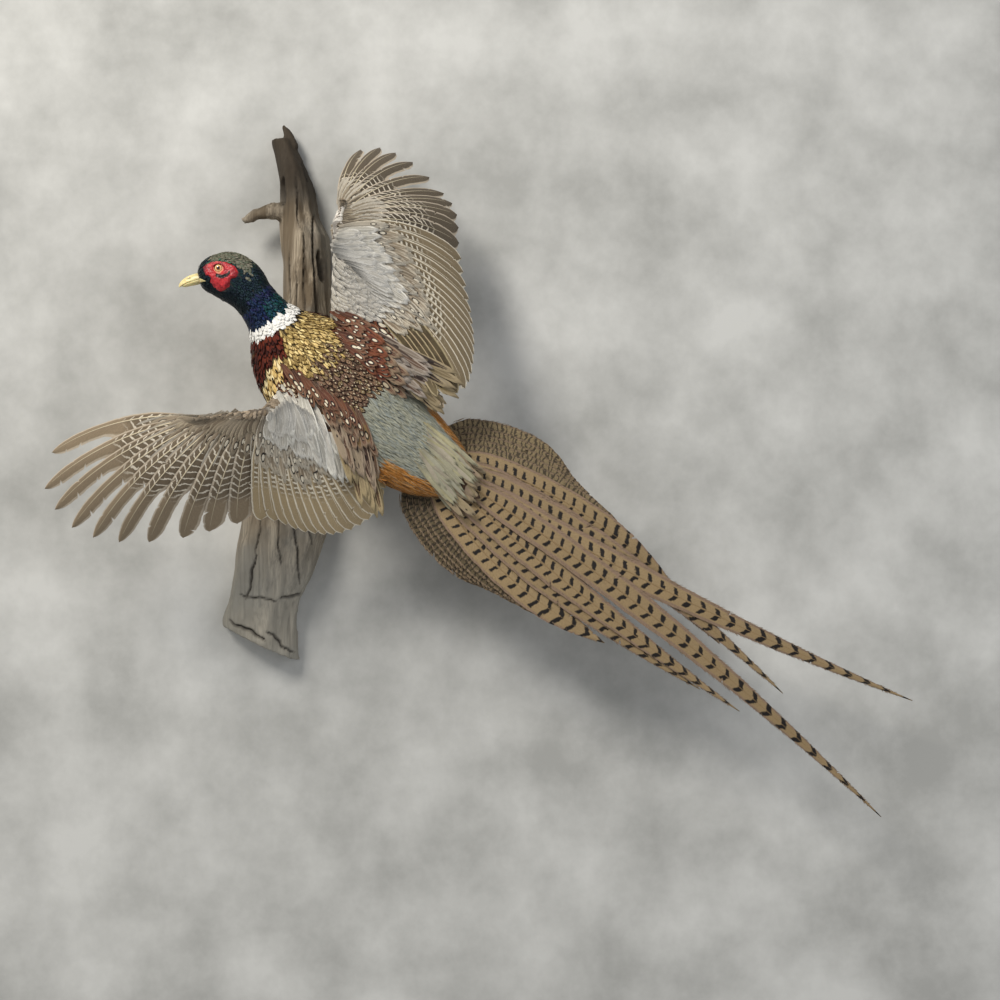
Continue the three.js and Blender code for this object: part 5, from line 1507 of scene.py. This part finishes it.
# Painted glass eye: black pupil, amber iris with a pale outer ring, and a dark rim, under clear glass.
glassEye, tree, shader = newMaterial("glass eye", {"Roughness": 0.12, "Coat Weight": 1, "Coat Roughness": 0.02})
coords = addNode(tree, "TexCoord", output="Object")
flat = addNode(tree, "VectorMath", {0: coords, 1: (1, 0, 1)}, **times)
x, y, z = (v * mm for v in eyeLook["centre"])
away = addNode(tree, "VectorMath", {0: flat, 1: (x, 0, z)}, output=1, operation="DISTANCE")
fibres = addNode(tree, "TexNoise", {"Vector": coords, "Scale": 1400, "Detail": 3})
away = addNode(tree, "Math", {0: fibres, 1: 0.35 * mm, 2: away}, **timesPlus)
away = addNode(tree, "Math", {0: away, 1: eyeLook["radius"] * mm}, operation="DIVIDE")
ramp = addNode(tree, "ValToRGB", {0: away})
setStops(ramp, ((0.29, "#050403"), (0.33, "#8a4614"), (0.46, "#c47f33"), (0.54, "#f2dba2"), (0.64, "#e2bb74"),
                (0.72, "#2a1610")))
tree.links.new(ramp, shader.inputs["Base Color"])

for side, sign in signs.items():
    link(f"{side}_wattle_skin", makeWattle(side + "_wattle_skin", sign), wattle, (side + "_wattle",))
    link(f"{side}_glass_eye", makeEye(side + "_glass_eye", sign), glassEye, (side + "_eye",))

billLook = {
    "root": (-66, -150, 107.5),
    "tip": (-90, -150, 99.8),
    "half": 5.8,
    "upper": {"length": 1, "bow": 3.9, "end": 0.3, "top": 7.0, "bottom": 0.3},
    "lower": {"length": 0.88, "bow": 2.2, "end": 0.5, "top": 0.2, "bottom": 3.8},
    "gape": ((-69.5, 106.6), (-62.8, 104.9)),
}


# Half of the bill, with a nostril on each side of the upper one.
def makeBill(name, part):
    look = billLook[part]
    root, tip = np.array(billLook["root"], float), np.array(billLook["tip"], float)
    middle = mix(root, tip, 0.6) + np.array((0, 0, look["bow"]))
    start, end = (mix(root, tip, s) + np.array((0, 0, look["end"])) for s in (0, look["length"]))
    right, stations = np.array((0.0, 1.0, 0.0)), []
    for s in np.sin(np.linspace(0, math.pi / 2, 44)):
        centre = start * (1 - s) ** 2 + middle * 2 * s * (1 - s) + end * s**2
        up = np.cross(right, unit((middle - start) * (1 - s) + (end - middle) * s))
        taper = math.sqrt(max(1 - s * s, 0.0012))
        sizes = np.array((billLook["half"], look["top"], look["bottom"])) * taper * mm
        stations.append((centre * mm, right, up, *sizes))
    bm = bmesh.new()
    dark = bm.verts.layers.float.new("dark")
    loft(bm, 40, stations)
    centre, way = Vector(stations[14][0]), unit(stations[15][0] - stations[14][0])
    for v in bm.verts:
        off = v.co - centre
        along, above = off.dot(Vector(way)) / mm, off.dot(Vector(stations[14][2])) / mm
        dent = math.exp(-((along / 1.7) ** 2) - (((above - 3.4) / 0.75) ** 2)) * (part == "upper")
        v.co.y -= math.copysign(dent * 0.9 * mm, off.y)
        # the dent also marks where painted shade goes in the nostril
        v[dark] = dent
    for sign in (-1, 1) if part == "lower" else ():  # the corners of the mouth, on the cheeks
        stations = []
        for s in np.linspace(0, 1, 12):
            x, z = mix(*(np.array(end) for end in billLook["gape"]), s)
            start = Vector((x, -150 + sign * 40, z)) * mm
            skin = skinTree.ray_cast(start, Vector((0, -sign, 0)))[0] or skinTree.find_nearest(start)[0]
            place = Vector((x * mm, skin.y + sign * 0.9 * mm, z * mm))
            size = (2.3 * (1 - s) ** 0.8 + 0.1) * mm
            stations.append((place, Vector((0, 1, 0)), Vector((0, 0, 1)), 0.9 * mm, size, size))
        loft(bm, 16, stations)
    return smoothMesh(name, bm)


# Polished horn: pale yellow with lengthwise streaks, greyer at the base, with painted shade in the nostril
# dents.
soft = {"Subsurface Weight": 0.1, "Subsurface Scale": 0.002}
horn, tree, shader = newMaterial("bill horn", {"Roughness": 0.34, **soft})
coords = addNode(tree, "TexCoord", output="Object")
lengthwise = addNode(tree, "Mapping", {0: coords, "Scale": (0.16, 1, 1)})
streaks = addNode(tree, "TexNoise", {"Vector": lengthwise, "Scale": 900, "Detail": 3})
lines = addNode(tree, "MapRange", {0: streaks, 1: 0.4, 2: 0.7}, **eased)
ahead = addNode(tree, "SeparateXYZ", {0: coords}, output=0)
base = addNode(tree, "MapRange", {0: ahead, 1: -0.077, 2: -0.067, 4: 0.7})
nostrilShade = addNode(tree, "Attribute", output=2, attribute_name="dark")
layers = ((lines, "#cdb878"), (base, "#8d8058"), (nostrilShade, "#2c2214"))
paint(tree, shader, colour("#e9dca0"), layers, streaks, 0.15, 0.25)
for part in ("upper", "lower"):
    link(f"{part}_bill_horn", makeBill(part + "_bill_horn", part), horn, (part + "_bill",))


legLook = {"spread": 17, "shank": 58, "joints": (15, 11, 5.5, 3.6, 3.6), "toes": ((-16, 42), (0, 50), (16, 40)),
           "coat": {"ground": ("#33271d", "#40301f", "#2a201a"), "fringe": "#5b4228", "rim": 0.18}}


# Points along a leg, in the same frame as the body: knee, heel, and the directions of shank, back and side.
def legLine(sign):
    hipCentre, _, hipBack, hipLeft, _ = bodyFrame(0.78)
    heelCentre, ahead, back, left, _ = bodyFrame(0.9)
    spread = sign * legLook["spread"] * mm
    knee = hipCentre + hipLeft * spread - hipBack * 37 * mm
    return knee, heelCentre + left * spread - back * 34 * mm, ahead, back, left


def growThigh(plumage, sign, draws):
    knee, heel, ahead, back, _ = legLine(sign)
    toe = heel + ahead * legLook["shank"] * mm
    path = np.array([knee, mix(knee, heel, 0.6), heel, mix(heel, toe, 0.4), toe])
    radii = np.array(legLook["joints"])[:, None] * mm
    row, column = (v.ravel().astype(float) for v in np.meshgrid(np.arange(22), np.arange(16), indexing="ij"))
    count = len(row)
    start = (row - 4.7 + draws.uniform(-0.3, 0.3, count)) / 17 * 0.44
    angle = (column + row % 2 / 2 + draws.uniform(-0.3, 0.3, count)) / 16 * 2 * math.pi
    share = np.linspace(0, 1, 6)
    place = start[:, None] + share * 0.12
    dome = np.clip(-place / 0.13, 0, 1)[..., None]  # the knee, ahead of the path
    way = unit(through(path, place + 0.16) - through(path, np.maximum(place, 0)))
    up = squareTo(back, way)
    ups = np.cross(way, up) * np.cos(angle)[:, None, None] + up * np.sin(angle)[:, None, None]
    ups = ups * np.sqrt(1 - dome * dome) - way * dome
    size = through(radii, place)
    points = through(path, place) + ups * (size + (9 * mm - size) * dome * dome)
    heights = (0.3 + 2.0 * np.sin(share * 1.5)) * mm * draws.uniform(0.7, 1.2, count)[:, None]
    halves = 3.4 * mm * draws.uniform(0.85, 1.15, count)
    home = np.stack([0.02 + 0.9 * start, 0.93 + 0.03 * (sign > 0) + 0.03 * column / 16], 1)
    lengths = pathLengths(points)
    marks = lookMarks(legLook["coat"], count, lengths / halves, draws)
    addFeathers(plumage, points, ups, halves, heights, "vane", 5, np.zeros(count), home, marks)


def makeClaws(name, sign):
    _, heel, ahead, back, _ = (Vector(v) for v in legLine(sign))
    ankle = heel + ahead * (legLook["shank"] + 4.5) * mm
    bm = bmesh.new()
    for turn, length in legLook["toes"]:
        way = Quaternion(back, math.radians(turn)) @ ahead
        start = ankle + way * (length - 1.5) * mm + back * 5 * mm
        side = way.cross(back)
        stations = []
        for s in np.linspace(0, 1, 9):
            centre = start + (way * 9 * s - back * 3.5 * s * s) * mm
            size = (1.15 * (1 - s) ** 0.7 + 0.06) * mm
            up = (way * 0.4 * s + back).normalized()
            stations.append((centre, side, up, size * 0.8, size, size))
        loft(bm, 12, stations)
    return smoothMesh(name, bm)


# Dry scaled leg skin: grey horn plates with dark joints.
legSkin, tree, shader = newMaterial("leg skin", {"Roughness": 0.5})
coords = addNode(tree, "TexCoord", output="Object")
plates = addNode(tree, "TexVoronoi", {"Vector": coords, "Scale": 480}, feature="DISTANCE_TO_EDGE")
joints = addNode(tree, "MapRange", {0: plates, 1: 0, 2: 0.12})
heelX = float(legLine(1)[1][0])
ahead = addNode(tree, "SeparateXYZ", {0: coords}, output=0)
thigh = addNode(tree, "MapRange", {0: ahead, 1: heelX - 6 * mm, 2: heelX, 3: 1, 4: 0})
paint(tree, shader, colour("#3d372e"), ((joints, "#857c68"), (thigh, "#2c221a")), joints, 0.3)
# Claw horn: nearly black, smooth.
claw, tree, shader = newMaterial("claw horn", {"Base Color": colour("#2a2119"), "Roughness": 0.35})
thighs = Plumage()
for side, sign in signs.items():
    nodes = (side + "_leg", side + "_foot")
    bm = bmesh.new()
    nodeShell(bm, nodes)
    link(side + "_leg_skin", remeshed(side + "_leg_skin", bm, 0.9 * mm, 4), legSkin, nodes)
    link(side + "_claws", makeClaws(side + "_claws", sign), claw)
    growThigh(thighs, sign, rowDraws)
thighs.build("thigh_coat", bodyFeathers)


woodLook = {
    "voxel": 1.7 * mm,
    # cracks along the grain: x and z where each starts and ends, how far it wanders, width and depth
    "cracks": (
        ((27, 190), (34, 70), 0.8, 1.3, 6), ((10, 232), (14, 170), 0.7, 0.8, 3),
        ((19, 168), (22, 60), 0.8, 0.7, 3), ((-5, 226), (-3, 196), 0.8, 3.4, 10),
        ((12, 262), (20, 222), 0.8, 1.1, 5), ((34, 150), (38, 118), 0.6, 3.6, 8),
        ((-22, -110), (-30, -160), 1.5, 0.8, 4), ((-30, -160), (-40, -205), 1.5, 1.3, 6),
        ((8, -95), (14, -190), 1, 0.8, 4), ((-48, -200), (-8, -206), 1.5, 0.9, 4),
        ((-60, -226), (-20, -246), 2, 1.6, 6), ((-6, -204), (16, -200), 1, 1.3, 5),
        ((4, 150), (7, 20), 0.8, 0.6, 2), ((-20, -236), (6, -262), 2, 1.2, 5),
        ((12, 130), (14, 10), 0.8, 0.7, 3), ((24, -100), (26, -150), 1, 0.7, 3),
        ((-8, -100), (-4, -170), 1, 0.6, 3),
    ),
}


def sideLine(x, z, crack):
    (x0, z0), (x1, z1), wander, width, depth = crack
    ahead = np.array((x1 - x0, z1 - z0))
    span = np.linalg.norm(ahead)
    ahead = ahead / span
    px, pz = x - x0, z - z0
    share = (px * ahead[0] + pz * ahead[1]) / span
    bend = wander * (np.sin(share * 9 + x0) * 0.6 + np.sin(share * 23 + z0) * 0.25)
    off = px * ahead[1] - pz * ahead[0] + bend
    kept = np.clip(share, 0, 1)
    return np.abs(off), kept - share, width * np.sin(kept * math.pi) ** 0.5, depth


def makeDriftwood():
    bm = bmesh.new()
    nodeShell(bm, ("driftwood",))
    mesh = remeshed("driftwood_wood", bm, woodLook["voxel"], 6, 0.6)
    points, normals = vertexRows(mesh), vertexRows(mesh, "normal")
    x, z = points[:, 0] / mm, points[:, 2] / mm
    front = smooth(-normals[:, 1], -0.2, 0.5) * smooth(-points[:, 1] / mm, 1.5, 6)
    free = smooth(-points[:, 1] / mm, 0.5, 4)
    carve, dark = np.zeros(len(points)), np.zeros(len(points))
    for crack in woodLook["cracks"]:
        off, past, width, depth = sideLine(x, z, crack)
        inside = np.clip(1 - off / np.maximum(width, 0.2), 0, 1) * (np.abs(past) < 1e-6)
        # a band a little wider than each crack is marked for painted shade
        near = np.clip(1 - off / np.maximum(width * 1.6 + 0.6, 0.2), 0, 1) * (np.abs(past) < 1e-6)
        carve = np.maximum(carve, inside * depth * front)
        dark = np.maximum(dark, near * front)
    for number, p in enumerate(points):
        around = Vector((p[0] * 190, p[1] * 190, p[2] * 7))
        fine = Vector((p[0] * 560, p[1] * 560, p[2] * 13))
        ridge = noise.noise(around) * 1.3 + noise.noise(fine) * 0.55 + noise.noise(Vector(p) * 55) * 0.9
        carve[number] -= ridge * free[number] * 0.75 - 0.35 * free[number]
        dark[number] = max(dark[number], 0.5 * max(0, -noise.noise(fine) - 0.1))
    moved = points - normals * (carve * mm)[:, None]
    moved[:, 1] = np.minimum(moved[:, 1], 0)
    mesh.vertices.foreach_set("co", moved.astype(np.float32).ravel())
    addRows(mesh, "dark", dark)
    mesh.update()
    print("driftwood", len(mesh.polygons), "faces")
    return mesh


# Weathered softwood: silver grey where it is washed out, brown in the grain, painted shade near black in and
# beside the cracks, and darker where the fine grain is carved deeper.
wood, tree, shader = newMaterial("driftwood", {"Roughness": 0.85, "Specular IOR Level": 0.3})
coords = addNode(tree, "TexCoord", output="Object")
stretched = addNode(tree, "Mapping", {0: coords, "Scale": (1, 1, 0.045)})
grain = addNode(tree, "TexNoise", {"Vector": stretched, "Scale": 520, "Detail": 5, "Roughness": 0.65})
broad = addNode(tree, "TexNoise", {"Vector": stretched, "Scale": 90, "Detail": 3})
patches = addNode(tree, "TexNoise", {"Vector": coords, "Scale": 16, "Detail": 3})
ramp = addNode(tree, "ValToRGB", {0: grain})
setStops(ramp, ((0.3, "#5c5143"), (0.68, "#bcae98")))
broad = addNode(tree, "MapRange", {0: broad, 1: 0.4, 2: 0.62}, **eased)
washed = addNode(tree, "MapRange", {0: patches, 1: 0.42, 2: 0.62}, **eased)
washed = addNode(tree, "Math", {0: washed, 1: 0.55}, **times)
height = addNode(tree, "SeparateXYZ", {0: coords}, output=2)
foot = addNode(tree, "MapRange", {0: height, 1: -0.1, 2: -0.2, 4: 0.6}, **eased)
top = addNode(tree, "MapRange", {0: height, 1: 0.17, 2: 0.225, 4: 0.95}, **eased)
# dark holds painted shade in and beside the cracks, and a darker tone where the fine grain is carved deeper
cracks = addNode(tree, "Attribute", output=2, attribute_name="dark")
cracks = addNode(tree, "Math", {0: cracks, 1: 0.85}, **times)
layers = ((broad, "#6a5d4b"), (washed, "#85827a"), (foot, "#a3a197"), (top, "#342c22"), (cracks, "#1f1a15"))
paint(tree, shader, ramp, layers, grain, 0.8, 0.6)
link("driftwood_wood", makeDriftwood(), wood, ("driftwood",))

camera = newObject("camera", bpy.data.cameras.new("camera"))
camera.location = (0.2179, -2.0, -0.1038)
camera.rotation_euler = (math.pi / 2, 0, 0)
camera.data.lens = 69.4
bpy.context.scene.camera = camera

bm = bmesh.new()
bmesh.ops.create_grid(bm, x_segments=1, y_segments=1, size=6)
upright = Vector((0, 0, 1)).rotation_difference(Vector((0, -1, 0))).to_matrix()
bmesh.ops.rotate(bm, verts=bm.verts, matrix=upright)
bmesh.ops.translate(bm, verts=bm.verts, vec=(0, 0.0015, 0))
wall = newObject("wall", meshOf("wall", bm))
# Painted plaster in cloudy greys, seen only from the front.
plaster, tree, shader = newMaterial("plaster", {"Roughness": 0.9})
coords = addNode(tree, "TexCoord", output="Object")
clouds = addNode(tree, "TexNoise", {"Vector": coords, "Scale": 7, "Detail": 6, "Roughness": 0.62})
ramp = addNode(tree, "ValToRGB", {0: clouds})
setStops(ramp, ((0.35, "#a4a4a0"), (0.65, "#c9c9c5")))
tree.links.new(ramp, shader.inputs["Base Color"])
behind = addNode(tree, "NewGeometry", output="Backfacing")
path = addNode(tree, "LightPath").node.outputs  # light reaches the flat back of the wood from behind
near = addNode(tree, "Math", {0: path["Ray Length"], 1: 4 * mm}, operation="LESS_THAN")
near = addNode(tree, "Math", {0: near, 1: path["Is Diffuse Ray"]}, **times)
behind = addNode(tree, "Math", {0: behind, 1: near}, operation="MAXIMUM")
clear = addNode(tree, "BsdfTransparent")
surface = addNode(tree, "MixShader", {0: behind, 1: shader.outputs[0], 2: clear})
tree.links.new(surface, tree.nodes["Material Output"].inputs["Surface"])
wall.data.materials.append(plaster)


def addLight(name, size, power, place, target, tint):
    lamp = bpy.data.lights.new(name, "AREA")
    lamp.size, lamp.energy, lamp.color = size, power, colour(tint)[:3]
    light = newObject(name, lamp)
    light.location = place
    light.rotation_euler = (Vector(target) - Vector(place)).to_track_quat("-Z", "Y").to_euler()


addLight("key", 0.7, 46, (-0.9, -1.6, 1.35), (0.1, -0.05, 0), "#fffaf2")
addLight("fill", 1.6, 9, (1.5, -1.8, 0.2), (0.2, -0.05, -0.1), "#f2f6ff")
world = bpy.data.worlds.new("world")
bpy.context.scene.world = world
world.use_nodes = True
world.node_tree.nodes["Background"].inputs[0].default_value = colour("#d9dadb")
world.node_tree.nodes["Background"].inputs[1].default_value = 0.58
bpy.context.scene.view_settings.view_transform = "Standard"
